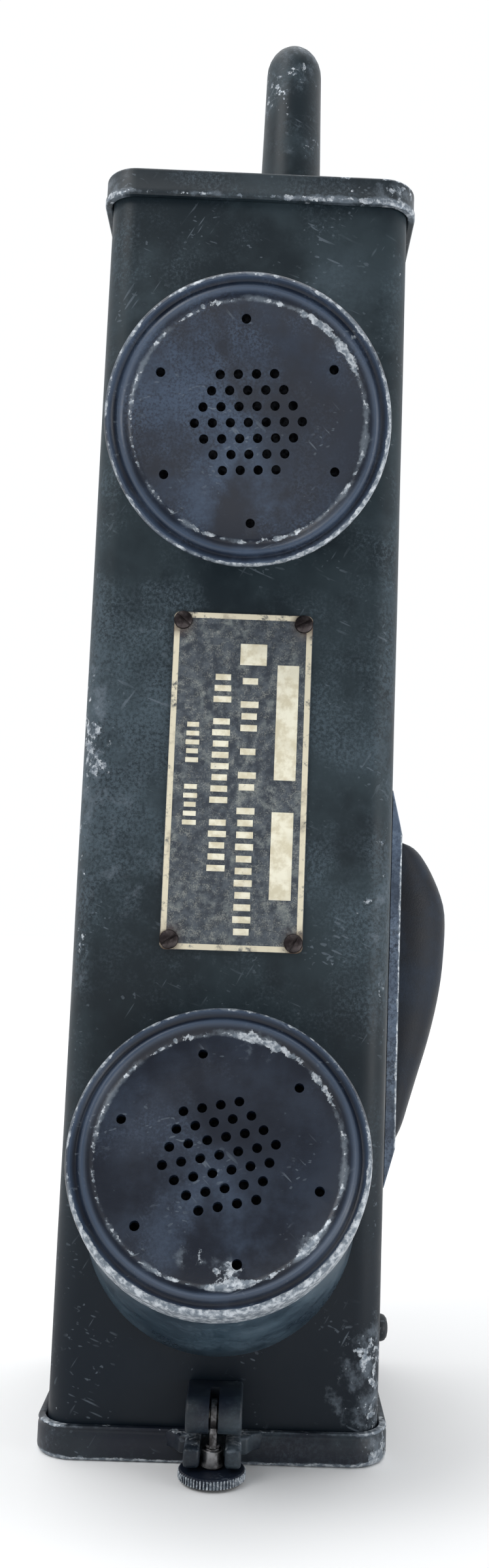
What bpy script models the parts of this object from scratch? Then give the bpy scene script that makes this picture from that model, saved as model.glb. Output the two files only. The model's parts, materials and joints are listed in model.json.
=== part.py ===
"""A handheld radiotelephone: hinged bottom cover, telescopic antenna under a cap, two tilted sound caps.

Lengths are in millimetres, and every mesh is written in metres. The origin is the centre of the
cover's underside, +Z runs up the long case and the front faces -Y.
"""

import math

import bpy
from mathutils import Matrix, Vector

MM = 0.001

# Case, lid and cover
CASE_X, CASE_Y, CASE_R, CASE_WALL = 83.0, 84.0, 7.5, 2.2
CASE_BOTTOM, CASE_TOP = 4.5, 334.6
LID_X, LID_Y, LID_R, LID_WALL, LID_ROOF = 87.4, 88.4, 9.5, 1.9, 2.4
LID_BOTTOM, LID_TOP = 330.4, 338.5
COVER_X, COVER_Y, COVER_R, COVER_WALL, COVER_FLOOR = 87.6, 88.6, 9.8, 2.0, 2.4
COVER_TOP = 8.1
FRONT = -CASE_Y / 2
REAR = CASE_Y / 2
SIDE = CASE_X / 2
GAP = 0.3

# Sound caps
CAP_R, CAP_SKIRT, CAP_DISC_Z, CAP_DISC_T = 34.7, 9.0, -2.4, 2.0
HOLE_R, HOLE_PITCH, RIM_HOLE_RADIUS = 1.1, 4.35, 24.05
EAR_RIM_Z, EAR_REACH, EAR_TILT, EAR_BASE_Z, EAR_BASE_R = 251.0, 41.0, 18.0, 264.4, 30.0
MOUTH_RIM_Z, MOUTH_REACH, MOUTH_TILT, MOUTH_BASE_Z, MOUTH_BASE_R = 80.5, 39.0, -25.0, 58.9, 33.9
EAR_TURN, MOUTH_TURN = 3.0, 12.0

# Nameplate
PLATE_X, PLATE_Z, PLATE_MID_Z, PLATE_T = 36.9, 89.0, 168.9, 0.8
PLATE_SCREW_X, PLATE_SCREW_Z = 16.0, (127.0, 211.0)

# Antenna
ANTENNA_X = 8.2
SECTION_R = ((4.5, 4.1), (3.8, 3.45), (3.1, 2.75), (2.4, 2.05), (1.7, 0.0))
SECTION_FOOT, SECTION_STEP, SECTION_TOP = 60.0, 4.0, 349.5
CAP_FOOT, CAP_TIP = 340.2, 406.0

# Talk switch on the right side
LEVER_PIN_X, LEVER_PIN_Z = 44.4, 79.0
PLUNGER_Z, PLUNGER_R = 134.0, 1.6
FRAME_OUT = 46.5

# Latch and hinge of the bottom cover
BOLT_X, BOLT_Y, PIVOT_Z, LUG_R = 0.6, -53.0, 15.0, 4.3
NUT_R, NUT_FOOT, NUT_TOP = 8.1, 0.5, 3.0
HINGE_Y, HINGE_Z, KNUCKLE_R, HINGE_PIN_R = 46.6, 10.5, 2.4, 1.2

# Inside
CHASSIS_Y, CHASSIS_T, CHASSIS_LEFT, CHASSIS_RIGHT = -8.2, 1.5, -37.0, 25.0
SHELVES = (46.5, 100.0, 205.0, 262.0, 330.0)
TUBE_Y, TUBE_R, TUBE_H = -22.5, 8.8, 48.0

MATERIALS = {
    "olive_paint": ((0.045, 0.052, 0.043), 0.0, 0.5),
    "black_paint": ((0.03, 0.036, 0.038), 0.0, 0.45),
    "bright_steel": ((0.55, 0.53, 0.5), 1.0, 0.35),
    "dull_steel": ((0.32, 0.3, 0.27), 1.0, 0.5),
    "brass": ((0.6, 0.45, 0.2), 1.0, 0.35),
    "rubber": ((0.03, 0.032, 0.035), 0.0, 0.8),
    "plate_enamel": ((0.09, 0.095, 0.1), 0.0, 0.55),
    "chassis_aluminium": ((0.6, 0.6, 0.6), 1.0, 0.4),
    "bakelite": ((0.08, 0.04, 0.025), 0.0, 0.4),
    "foil": ((0.7, 0.68, 0.62), 1.0, 0.3),
    "glass": ((0.6, 0.65, 0.65), 0.0, 0.08),
    "card": ((0.45, 0.34, 0.2), 0.0, 0.85),
    "copper": ((0.7, 0.32, 0.16), 1.0, 0.35),
}


def clear_scene():
    """Empty the scene and its meshes."""
    for obj in list(bpy.data.objects):
        bpy.data.objects.remove(obj)


def make_materials():
    """One Principled material for each entry of the table."""
    made = {}
    for name, (colour, metallic, roughness) in MATERIALS.items():
        entry = bpy.data.materials.new(name)
        entry.use_nodes = True
        shader = entry.node_tree.nodes["Principled BSDF"]
        shader.inputs["Base Color"].default_value = (*colour, 1.0)
        shader.inputs["Metallic"].default_value = metallic
        shader.inputs["Roughness"].default_value = roughness
        made[name] = entry
    return made


# Outlines and rings


def rounded(width, depth, radius, steps=5):
    """Counterclockwise outline of a rounded rectangle centred on the axis."""
    points = []
    for quarter in range(4):
        x = (width / 2 - radius) * (1 if quarter in (0, 3) else -1)
        y = (depth / 2 - radius) * (1 if quarter in (0, 1) else -1)
        for step in range(steps + 1):
            angle = math.radians(90 * (quarter + step / steps))
            points.append((x + radius * math.cos(angle), y + radius * math.sin(angle)))
    return points


def circle(radius, steps=24):
    """Counterclockwise outline of a circle."""
    turns = [2 * math.pi * step / steps for step in range(steps)]
    return [(radius * math.cos(a), radius * math.sin(a)) for a in turns]


def level(outline, z):
    """An outline lifted to height z."""
    return [Vector((x, y, z)) for x, y in outline]


def placed(ring, matrix):
    """A ring moved by a matrix."""
    return [matrix @ point for point in ring]


def skin(rings, closed):
    """Points and faces of a surface through the rings: capped, or joined end to start when closed."""
    count = len(rings[0])
    points = [point for ring in rings for point in ring]
    faces = []
    pairs = [(i, i + 1) for i in range(len(rings) - 1)]
    if closed:
        pairs.append((len(rings) - 1, 0))
    for low, high in pairs:
        for j in range(count):
            k = (j + 1) % count
            faces.append((low * count + j, low * count + k, high * count + k, high * count + j))
    if not closed:
        last = (len(rings) - 1) * count
        faces.append(tuple(reversed(range(count))))
        faces.append(tuple(last + j for j in range(count)))
    return points, faces


# Objects


class Builder:
    """Makes the scene's objects with their materials and parents."""

    def __init__(self):
        self.materials = make_materials()
        self.count = 0

    def add(self, name, points, faces, material=None, frame=None):
        """A mesh object from points in millimetres, set in a frame given in millimetres."""
        frame = frame or Matrix.Identity(4)
        mesh = bpy.data.meshes.new(name)
        mesh.from_pydata([tuple(point * MM) for point in map(Vector, points)], [], faces)
        mesh.update()
        obj = bpy.data.objects.new(name, mesh)
        bpy.context.collection.objects.link(obj)
        world = frame.copy()
        world.translation = frame.translation * MM
        obj.matrix_world = world
        if material:
            mesh.materials.append(self.materials[material])
        else:
            obj.hide_render = True
            obj.display_type = "WIRE"
        return obj

    def helper(self):
        """A name for a cutter or for a shape that joins another."""
        self.count += 1
        return f"helper_{self.count:03d}"

    def prism(self, name, outline, z0, z1, material=None, frame=None):
        """An upright solid over an outline."""
        points, faces = skin([level(outline, z0), level(outline, z1)], False)
        return self.add(name, points, faces, material, frame)

    def stack(self, name, sections, material=None, frame=None, closed=False):
        """A solid through (outline, z) sections that hold equal numbers of points."""
        points, faces = skin([level(outline, z) for outline, z in sections], closed)
        return self.add(name, points, faces, material, frame)

    def lathe(self, name, profile, material=None, frame=None, steps=24, closed=False):
        """A turned solid; the profile is (radius, z), bottom first, and closed for a ring."""
        sections = [(circle(radius, steps), z) for radius, z in profile]
        return self.stack(name, sections, material, frame, closed)

    def box(self, name, low, high, material=None):
        """A block between two corners."""
        (x0, y0, z0), (x1, y1, z1) = low, high
        outline = [(x0, y0), (x1, y0), (x1, y1), (x0, y1)]
        return self.prism(name, outline, z0, z1, material)

    def rod(self, name, radius, start, end, material=None, steps=12):
        """A round bar between two points."""
        start, end = Vector(start), Vector(end)
        turn = (end - start).to_track_quat("Z", "Y").to_matrix().to_4x4()
        frame = Matrix.Translation(start) @ turn
        return self.prism(name, circle(radius, steps), 0, (end - start).length, material, frame)

    def side_prism(self, name, profile, y0, y1, material=None):
        """A solid over an (x, z) outline, run along Y."""
        low = [Vector((x, y1, z)) for x, z in profile]
        high = [Vector((x, y0, z)) for x, z in profile]
        points, faces = skin([low, high], False)
        return self.add(name, points, faces, material)

    def cross_prism(self, name, profile, x0, x1, material=None):
        """A solid over a (y, z) outline, run along X."""
        low = [Vector((x0, y, z)) for y, z in profile]
        high = [Vector((x1, y, z)) for y, z in profile]
        points, faces = skin([low, high], False)
        return self.add(name, points, faces, material)

    def helix(self, name, radius, wire, z0, z1, turns, material=None, frame=None, steps=14):
        """A coil of round wire round the local Z axis."""
        rings = []
        total = int(turns * steps)
        for i in range(total + 1):
            angle = 2 * math.pi * i / steps
            centre = Vector((radius * math.cos(angle), radius * math.sin(angle), 0))
            centre.z = z0 + wire + (z1 - z0 - 2 * wire) * i / total
            out = Vector((math.cos(angle), math.sin(angle), 0))
            around = [(math.cos(t), math.sin(t)) for t in (2 * math.pi * k / 6 for k in range(6))]
            rings.append([centre + wire * (out * c + Vector((0, 0, s))) for c, s in around])
        points, faces = skin([ring[::-1] for ring in rings], False)
        return self.add(name, points, faces, material, frame)

    def change(self, obj, other, operation):
        """A Boolean of one object by another."""
        step = obj.modifiers.new(operation.lower(), "BOOLEAN")
        step.operation = operation
        step.object = other
        step.solver = "EXACT"

    def cut(self, obj, *cutters):
        """Take each cutter away from an object."""
        for cutter in cutters:
            self.change(obj, cutter, "DIFFERENCE")

    def join(self, obj, *others):
        """Join each shape to an object."""
        for other in others:
            self.change(obj, other, "UNION")


def adopt(parent, *children):
    """Parent objects without moving them."""
    bpy.context.view_layer.update()
    for child in children:
        child.parent = parent
        child.matrix_parent_inverse = parent.matrix_world.inverted()


def pivot(name, x, y, z):
    """An empty that marks a joint's axis."""
    mark = bpy.data.objects.new(name, None)
    bpy.context.collection.objects.link(mark)
    mark.location = (x * MM, y * MM, z * MM)
    return mark


# Case and lid


def build_case(b):
    """The drawn case with its openings."""
    outer = rounded(CASE_X, CASE_Y, CASE_R)
    inner = rounded(CASE_X - 2 * CASE_WALL, CASE_Y - 2 * CASE_WALL, CASE_R - CASE_WALL)
    sections = [(outer, CASE_BOTTOM), (outer, CASE_TOP), (inner, CASE_TOP), (inner, CASE_BOTTOM)]
    case = b.stack("case_shell", sections, "olive_paint", closed=True)
    for z in (EAR_BASE_Z, MOUTH_BASE_Z):
        b.cut(case, b.rod(b.helper(), 26.0, (0, FRONT - 5, z), (0, FRONT + 6, z), steps=24))
    for x in (-PLATE_SCREW_X, PLATE_SCREW_X):
        for z in PLATE_SCREW_Z:
            b.cut(case, b.rod(b.helper(), 1.4, (x, FRONT - 5, z), (x, FRONT + 6, z), steps=8))
    b.cut(case, b.box(b.helper(), (SIDE - 6, -7.2, 84), (SIDE + 5, 7.2, 150)))
    return case


def build_lid(b):
    """The pressed lid, its gasket and its screws."""
    outer = rounded(LID_X, LID_Y, LID_R)
    soft = rounded(LID_X - 1.6, LID_Y - 1.6, LID_R - 0.8)
    inner = rounded(LID_X - 2 * LID_WALL, LID_Y - 2 * LID_WALL, LID_R - LID_WALL)
    roof = LID_TOP - LID_ROOF
    rings = [(inner, roof), (inner, LID_BOTTOM), (outer, LID_BOTTOM), (outer, LID_TOP - 0.8), (soft, LID_TOP)]
    lid = b.stack("top_lid", rings, "olive_paint")
    b.cut(lid, b.rod(b.helper(), 6.6, (ANTENNA_X, 0, roof - 4), (ANTENNA_X, 0, LID_TOP + 4), steps=16))
    seal = [rounded(CASE_X - d, CASE_Y - d, CASE_R - d / 2) for d in (0.4, 5.6)]
    z0, z1 = CASE_TOP + 0.25, roof - 0.25
    rings = [(seal[0], z0), (seal[0], z1), (seal[1], z1), (seal[1], z0)]
    gasket = b.stack("lid_gasket", rings, "rubber", closed=True)
    parts = [lid, gasket]
    for number, x in enumerate((-28.0, 20.0), 1):
        y = -26.0
        b.cut(lid, b.rod(b.helper(), 1.9, (x, y, roof - 4), (x, y, LID_TOP + 4), steps=10))
        profile = [(1.5, 328.0), (1.5, LID_TOP + 0.3), (3.6, LID_TOP + 0.3), (3.6, LID_TOP + 1.2), (2.6, LID_TOP + 1.9)]
        screw = b.lathe(f"lid_screw_{number}", profile, "dull_steel", Matrix.Translation((x, y, 0)), 12)
        b.cut(screw, b.box(b.helper(), (x - 5, y - 0.45, LID_TOP + 1.0), (x + 5, y + 0.45, LID_TOP + 4)))
        parts.append(screw)
    return parts


def build_nameplate(b, case):
    """The plate on the front and its four screws."""
    corner = rounded(PLATE_X, PLATE_Z, 2.0, 3)
    upright = Matrix.Translation((0, FRONT - GAP, PLATE_MID_Z)) @ Matrix.Rotation(math.pi / 2, 4, "X")
    plate = b.prism("nameplate", corner, 0, PLATE_T, "plate_enamel", upright)
    adopt(case, plate)
    number = 0
    for z in PLATE_SCREW_Z:
        for x in (-PLATE_SCREW_X, PLATE_SCREW_X):
            number += 1
            b.cut(plate, b.rod(b.helper(), 1.4, (x, FRONT - 5, z), (x, FRONT + 6, z), steps=8))
            face = FRONT - GAP - PLATE_T - 0.25
            aim = Matrix.Translation((x, face, z)) @ Matrix.Rotation(math.pi / 2, 4, "X")
            profile = [(1.1, -5.5), (1.1, 0), (2.3, 0), (2.3, 0.6), (1.5, 1.1)]
            screw = b.lathe(f"nameplate_screw_{number}", profile, "dull_steel", aim, 10)
            b.cut(screw, b.box(b.helper(), (x - 4, face - 3, z - 0.35), (x + 4, face - 0.5, z + 0.35)))
            adopt(case, screw)


# Sound caps


def sound_frame(rim_z, reach, tilt):
    """Local axes at a rim: +Z out of the cap and +Y up its face."""
    lean = Matrix.Rotation(math.radians(90 + tilt), 4, "X")
    return Matrix.Translation((0, FRONT - reach, rim_z)) @ lean


def hole_centres(turn):
    """The grille: a hexagon of holes in seven rows, and six more round it."""
    centres = []
    for row in range(-3, 4):
        count = 7 - abs(row)
        for column in range(count):
            x = (column - (count - 1) / 2) * HOLE_PITCH
            centres.append((x, row * HOLE_PITCH * math.sqrt(3) / 2))
    for k in range(6):
        angle = math.radians(90 + 60 * k)
        centres.append((RIM_HOLE_RADIUS * math.cos(angle), RIM_HOLE_RADIUS * math.sin(angle)))
    spin = Matrix.Rotation(math.radians(turn), 2)
    return [spin @ Vector(centre) for centre in centres]


def build_sound(b, names, rim_z, reach, tilt, base_z, base_r, turn):
    """A housing on the front, with its perforated cap, capsule and diaphragm."""
    frame = sound_frame(rim_z, reach, tilt)
    base = Matrix.Translation((0, 0, base_z)) @ Matrix.Rotation(math.pi / 2, 4, "X")
    steps = 32

    def at_rim(radius, z):
        return placed(level(circle(radius, steps), z), frame)

    def at_base(radius, y):
        return placed(level(circle(radius, steps), -y), base)

    rings = [
        at_base(base_r, FRONT - GAP),
        at_rim(32.1, -9.8),
        at_rim(32.3, -5.2),
        at_rim(29.8, -5.2),
        at_rim(29.4, -12.0),
        at_base(base_r - 3.0, FRONT - GAP - 2.0),
        at_base(23.4, FRONT - GAP - 2.0),
        at_base(23.4, FRONT + 3.2),
        at_base(25.6, FRONT + 3.2),
        at_base(25.6, FRONT - GAP),
    ]
    points, faces = skin(rings, True)
    housing = b.add(names[0], points, faces, "black_paint")
    back = CAP_DISC_Z - CAP_DISC_T
    profile = [
        (28.6, back),
        (32.7, back - 0.4),
        (32.7, -CAP_SKIRT),
        (CAP_R, -CAP_SKIRT),
        (CAP_R, -1.2),
        (33.9, -0.3),
        (33.1, -0.7),
        (31.4, -0.7),
        (30.3, 0.0),
        (28.0, CAP_DISC_Z),
    ]
    cap = b.lathe(names[1], profile, "black_paint", frame, steps)
    drills = []
    points = []
    for centre in hole_centres(turn):
        start = len(points)
        rim = [Vector((centre.x + x, centre.y + y, 0)) for x, y in circle(HOLE_R, 6)]
        low = [p + Vector((0, 0, back - 2)) for p in rim]
        high = [p + Vector((0, 0, CAP_DISC_Z + 2)) for p in rim]
        hole_points, hole_faces = skin([low, high], False)
        points += hole_points
        drills += [tuple(start + i for i in face) for face in hole_faces]
    b.cut(cap, b.add(b.helper(), points, drills, None, frame))
    capsule_profile = [(20.0, -19.0), (27.0, -16.5), (27.0, -7.0), (26.0, -6.2)]
    capsule = b.lathe(names[2], capsule_profile, "bakelite", frame, 24)
    skin_profile = [(26.0, -5.9), (26.0, -5.55), (22.0, -5.4), (8.0, -4.8)]
    diaphragm = b.lathe(names[3], skin_profile, "foil", frame, 24)
    return [housing, cap, capsule, diaphragm]


# Antenna


def build_antenna(b):
    """The neck, the fixed tube, four sliding sections, the cap and its seal."""
    axis = Matrix.Translation((ANTENNA_X, 0, 0))
    profile = [(4.8, 333.0), (6.2, 333.0), (6.2, 338.8), (8.0, 338.8), (8.0, 349.0), (7.4, 350.0), (4.8, 350.0)]
    neck = b.lathe("antenna_neck", profile, "brass", axis, 24, closed=True)
    sections = []
    for number, (outer, bore) in enumerate(SECTION_R):
        foot = SECTION_FOOT + SECTION_STEP * number
        top = SECTION_TOP + SECTION_STEP * number
        name = f"antenna_section_{number}" if number else "antenna_tube"
        if bore:
            profile = [(outer, foot), (outer, top), (bore, top), (bore, foot)]
        else:
            profile = [(outer, foot), (outer, top - 0.5), (3.0, top), (3.3, top + 5), (2.2, top + 7.5)]
        sections.append(b.lathe(name, profile, "bright_steel", axis, 12, closed=bool(bore)))
    for outer, inner in zip(sections, sections[1:]):
        adopt(outer, inner)
    seal = [(8.35, 338.85), (9.4, 338.85), (9.4, 339.9), (8.35, 339.9)]
    seal = b.lathe("cap_seal", seal, "rubber", axis, 24, closed=True)
    dome = [(8.5 * math.cos(math.radians(a)), CAP_TIP - 9.5 + 9.5 * math.sin(math.radians(a))) for a in (0, 25, 50, 72, 84)]
    hollow = [(6.9 * math.cos(math.radians(a)), CAP_TIP - 9.5 + 7.6 * math.sin(math.radians(a))) for a in (84, 60, 30, 0)]
    lip = [(7.3, 351.5), (8.3, 350.6), (8.3, CAP_FOOT), (9.5, CAP_FOOT), (9.5, CAP_FOOT + 3)]
    cap = b.lathe("antenna_cap", hollow + lip + dome, "black_paint", axis, 24)
    adopt(sections[-1], seal)
    adopt(seal, cap)
    return neck, sections[0]


# Talk switch


def boot_shape(z):
    """How far the rubber stands out from the frame at a height."""
    stations = (72.6, 74.0, 77.0, 83.0, 91.0, 99.0, 108.5, 118.0, 127.5, 134.5, 139.0, 145.0, 151.5, 155.2, 156.4)
    heights = (0.2, 1.5, 3.2, 5.1, 7.5, 9.9, 12.2, 13.8, 14.5, 14.6, 14.0, 11.8, 8.2, 4.6, 0.6)
    for z0, z1, h0, h1 in zip(stations, stations[1:], heights, heights[1:]):
        if z <= z1:
            return h0 + (h1 - h0) * (z - z0) / (z1 - z0)
    return heights[-1]


def build_boot(b):
    """The hollow rubber boot."""
    half, wall, foot = 11.2, 1.5, 43.2
    low, high = 73.0, 156.0
    rows = [73.0, 75.5, 79.0, 85.0, 93.0, 103.0, 113.0, 123.0, 132.0, 139.0, 146.0, 151.5, 154.6, 156.0]
    across = [math.sin(math.radians(90 * k / 5)) for k in range(-5, 6)]

    def surface(inset, rise):
        grid = []
        for z in rows:
            share = (z - low) / (high - low)
            real = low + inset + share * (high - low - 2 * inset)
            line = []
            for a in across:
                bulge = math.sqrt(max(0.0, 1 - abs(a) ** 2.6))
                line.append(Vector((46.2 - rise + boot_shape(z) * bulge, a * (half - inset), real)))
            grid.append(line)
        return grid

    outer, inner = surface(0, 0), surface(wall, wall)
    columns = len(across)
    points, faces = [], []

    def index(layer, i, j):
        return layer * len(rows) * columns + i * columns + j

    for grid in (outer, inner):
        points += [point for line in grid for point in line]
    for i in range(len(rows) - 1):
        for j in range(columns - 1):
            quad = [(i, j), (i, j + 1), (i + 1, j + 1), (i + 1, j)]
            faces.append(tuple(index(0, *at) for at in quad))
            faces.append(tuple(index(1, *at) for at in reversed(quad)))
    last_i, last_j = len(rows) - 1, columns - 1
    edge = [(0, j) for j in range(last_j)] + [(i, last_j) for i in range(last_i)]
    edge += [(last_i, j) for j in range(last_j, 0, -1)] + [(i, 0) for i in range(last_i, 0, -1)]
    skirts = []
    for layer, grid in enumerate((outer, inner)):
        start = len(points)
        points += [Vector((foot, grid[i][j].y, grid[i][j].z)) for i, j in edge]
        skirts.append([start + k for k in range(len(edge))])
    for k in range(len(edge)):
        n = (k + 1) % len(edge)
        here, there = edge[k], edge[n]
        faces.append((index(0, *there), index(0, *here), skirts[0][k], skirts[0][n]))
        faces.append((skirts[0][n], skirts[0][k], skirts[1][k], skirts[1][n]))
        faces.append((skirts[1][n], skirts[1][k], index(1, *here), index(1, *there)))
    return b.add("ptt_boot", points, faces, "rubber")


def build_talk_switch(b, case):
    """The plate, frame, boot, lever, pin, switch, plunger and spring on the right side."""
    x0 = SIDE + GAP
    plate = b.box("ptt_plate", (x0, -15.5, 61), (x0 + 1.0, 15.5, 171), "black_paint")
    for sign in (-1, 1):
        y0, y1 = sorted((sign * 6.0, sign * 7.6))
        b.join(plate, b.box(b.helper(), (x0 + 0.3, y0, 76.4), (45.9, y1, 81.6)))
    b.cut(plate, b.box(b.helper(), (x0 - 4, -5.8, 84), (x0 + 5, 5.8, 150)))
    pin_hole = b.rod(b.helper(), 1.3, (LEVER_PIN_X, -20, LEVER_PIN_Z), (LEVER_PIN_X, 20, LEVER_PIN_Z), steps=12)
    b.cut(plate, pin_hole)
    side = [(43.1, 61.5), (43.6, 61.5), (FRAME_OUT, 72), (FRAME_OUT, 158), (43.6, 170.5), (43.1, 170.5)]
    frame = b.side_prism("ptt_frame", side, -15, 15, "black_paint")
    b.cut(frame, b.box(b.helper(), (40, -11.6, 72.6), (50, 11.6, 156.4)))
    boot = build_boot(b)
    arm = [
        (42.9, 77.0),
        (45.6, 77.0),
        (46.6, 80.0),
        (49.4, 100.0),
        (55.2, 126.0),
        (56.2, 136.0),
        (53.2, 146.5),
        (51.4, 146.5),
        (54.4, 136.0),
        (53.4, 127.0),
        (47.2, 100.6),
        (44.0, 84.0),
        (43.5, 82.0),
        (42.9, 79.6),
    ]
    lever = b.side_prism("ptt_lever", arm, -5.4, 5.4, "dull_steel")
    b.cut(lever, pin_hole)
    pin = b.rod("ptt_lever_pin", 1.0, (LEVER_PIN_X, -7.6, LEVER_PIN_Z), (LEVER_PIN_X, 7.6, LEVER_PIN_Z), "bright_steel")
    switch = b.box("ptt_switch", (26.0, -8.0, 98), (38.9, 3.8, 150), "bakelite")
    b.cut(switch, b.rod(b.helper(), 2.0, (30.0, 0, PLUNGER_Z), (45.0, 0, PLUNGER_Z), steps=12))
    plunger = b.rod("switch_plunger", PLUNGER_R, (36.0, 0, PLUNGER_Z), (52.2, 0, PLUNGER_Z), "brass", 12)
    b.join(plunger, b.rod(b.helper(), 3.2, (51.0, 0, PLUNGER_Z), (53.6, 0, PLUNGER_Z), steps=12))
    aim = Matrix.Translation((39.4, 0, PLUNGER_Z)) @ Matrix.Rotation(math.pi / 2, 4, "Y")
    spring = b.helix("switch_spring", 2.6, 0.3, 0, 11.2, 5, "bright_steel", aim, 8)
    turn = pivot("ptt_lever_axis", LEVER_PIN_X, 0, LEVER_PIN_Z)
    adopt(case, plate, frame, boot, pin, switch, plunger, spring, turn)
    adopt(turn, lever)


def build_strap_bracket(b):
    """The small sloping plate with a domed stud low on the right side."""
    x = SIDE + GAP
    side = [(x, 16.5), (x + 1.6, 17.5), (x + 1.6, 25.0), (x + 0.8, 33.5), (x, 33.5)]
    bracket = b.side_prism("strap_bracket", side, -7.5, 7.5, "black_paint")
    aim = Matrix.Translation((x + 1.0, 0, 21.0)) @ Matrix.Rotation(math.pi / 2, 4, "Y")
    dome = [(3.6, 0), (3.6, 2.6), (2.8, 3.7), (1.2, 4.2)]
    b.join(bracket, b.lathe(b.helper(), dome, None, aim, 12))
    return bracket


# Bottom cover, its hinge and its latch


def build_cover(b):
    """The tray with its gasket, contact springs, fork and hinge knuckles."""
    foot = rounded(COVER_X - 1.4, COVER_Y - 1.4, COVER_R - 0.7)
    outer = rounded(COVER_X, COVER_Y, COVER_R)
    inner = rounded(COVER_X - 2 * COVER_WALL, COVER_Y - 2 * COVER_WALL, COVER_R - COVER_WALL)
    rings = [(foot, 0), (outer, 0.8), (outer, COVER_TOP), (inner, COVER_TOP), (inner, COVER_FLOOR)]
    cover = b.stack("bottom_cover", rings, "olive_paint")
    face = -COVER_Y / 2
    shoulder = [(BOLT_X - 11, face + 0.8), (BOLT_X - 8, face - 2.8), (BOLT_X + 8, face - 2.8), (BOLT_X + 11, face + 0.8)]
    fork = b.prism(b.helper(), shoulder, 4.0, COVER_TOP - 0.05)
    ears = b.box(b.helper(), (BOLT_X - 6.9, BOLT_Y - 4.0, 3.9), (BOLT_X + 6.9, face + 0.5, 8.25))
    b.join(cover, fork, ears)
    b.cut(cover, b.box(b.helper(), (BOLT_X - 3.0, BOLT_Y - 9, 1), (BOLT_X + 3.0, BOLT_Y + 3.4, 12)))
    for sign in (-1, 1):
        x0, x1 = sorted((sign * 10.0, sign * 24.0))
        tab = b.box(b.helper(), (x0, COVER_Y / 2 - 0.4, 5.0), (x1, HINGE_Y + 1.4, HINGE_Z))
        knuckle = b.rod(b.helper(), KNUCKLE_R, (x0, HINGE_Y, HINGE_Z), (x1, HINGE_Y, HINGE_Z), steps=16)
        b.join(cover, tab, knuckle)
    b.cut(cover, b.rod(b.helper(), HINGE_PIN_R + GAP, (-40, HINGE_Y, HINGE_Z), (40, HINGE_Y, HINGE_Z), steps=12))
    seal = [rounded(CASE_X - d, CASE_Y - d, CASE_R - d / 2) for d in (0.4, 5.6)]
    z0, z1 = COVER_FLOOR + GAP, CASE_BOTTOM - GAP
    rings = [(seal[0], z0), (seal[0], z1), (seal[1], z1), (seal[1], z0)]
    gasket = b.stack("cover_gasket", rings, "rubber", closed=True)
    turn = pivot("cover_axis", 0, HINGE_Y, HINGE_Z)
    adopt(turn, cover, gasket)
    for number, (x, y) in enumerate(((-20.5, 20.5), (20.5, 21.0)), 1):
        spot = Matrix.Translation((x, y, 0))
        spring = b.helix(f"battery_spring_{number}", 6.0, 0.45, COVER_FLOOR + 0.25, 7.7, 3, "bright_steel", spot, 10)
        adopt(turn, spring)


def build_hinge(b):
    """The leaf on the back of the case and the pin."""
    leaf = b.box("hinge_leaf", (-24, REAR + GAP, 8.9), (24, REAR + 1.5, 26), "black_paint")
    tab = b.box(b.helper(), (-9.7, REAR + 0.8, HINGE_Z), (9.7, HINGE_Y, HINGE_Z + 2.6))
    knuckle = b.rod(b.helper(), KNUCKLE_R, (-9.7, HINGE_Y, HINGE_Z), (9.7, HINGE_Y, HINGE_Z), steps=16)
    b.join(leaf, tab, knuckle)
    b.cut(leaf, b.rod(b.helper(), HINGE_PIN_R + GAP, (-40, HINGE_Y, HINGE_Z), (40, HINGE_Y, HINGE_Z), steps=12))
    pin = b.rod("hinge_pin", HINGE_PIN_R, (-24.6, HINGE_Y, HINGE_Z), (24.6, HINGE_Y, HINGE_Z), "bright_steel")
    return [leaf, pin]


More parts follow.
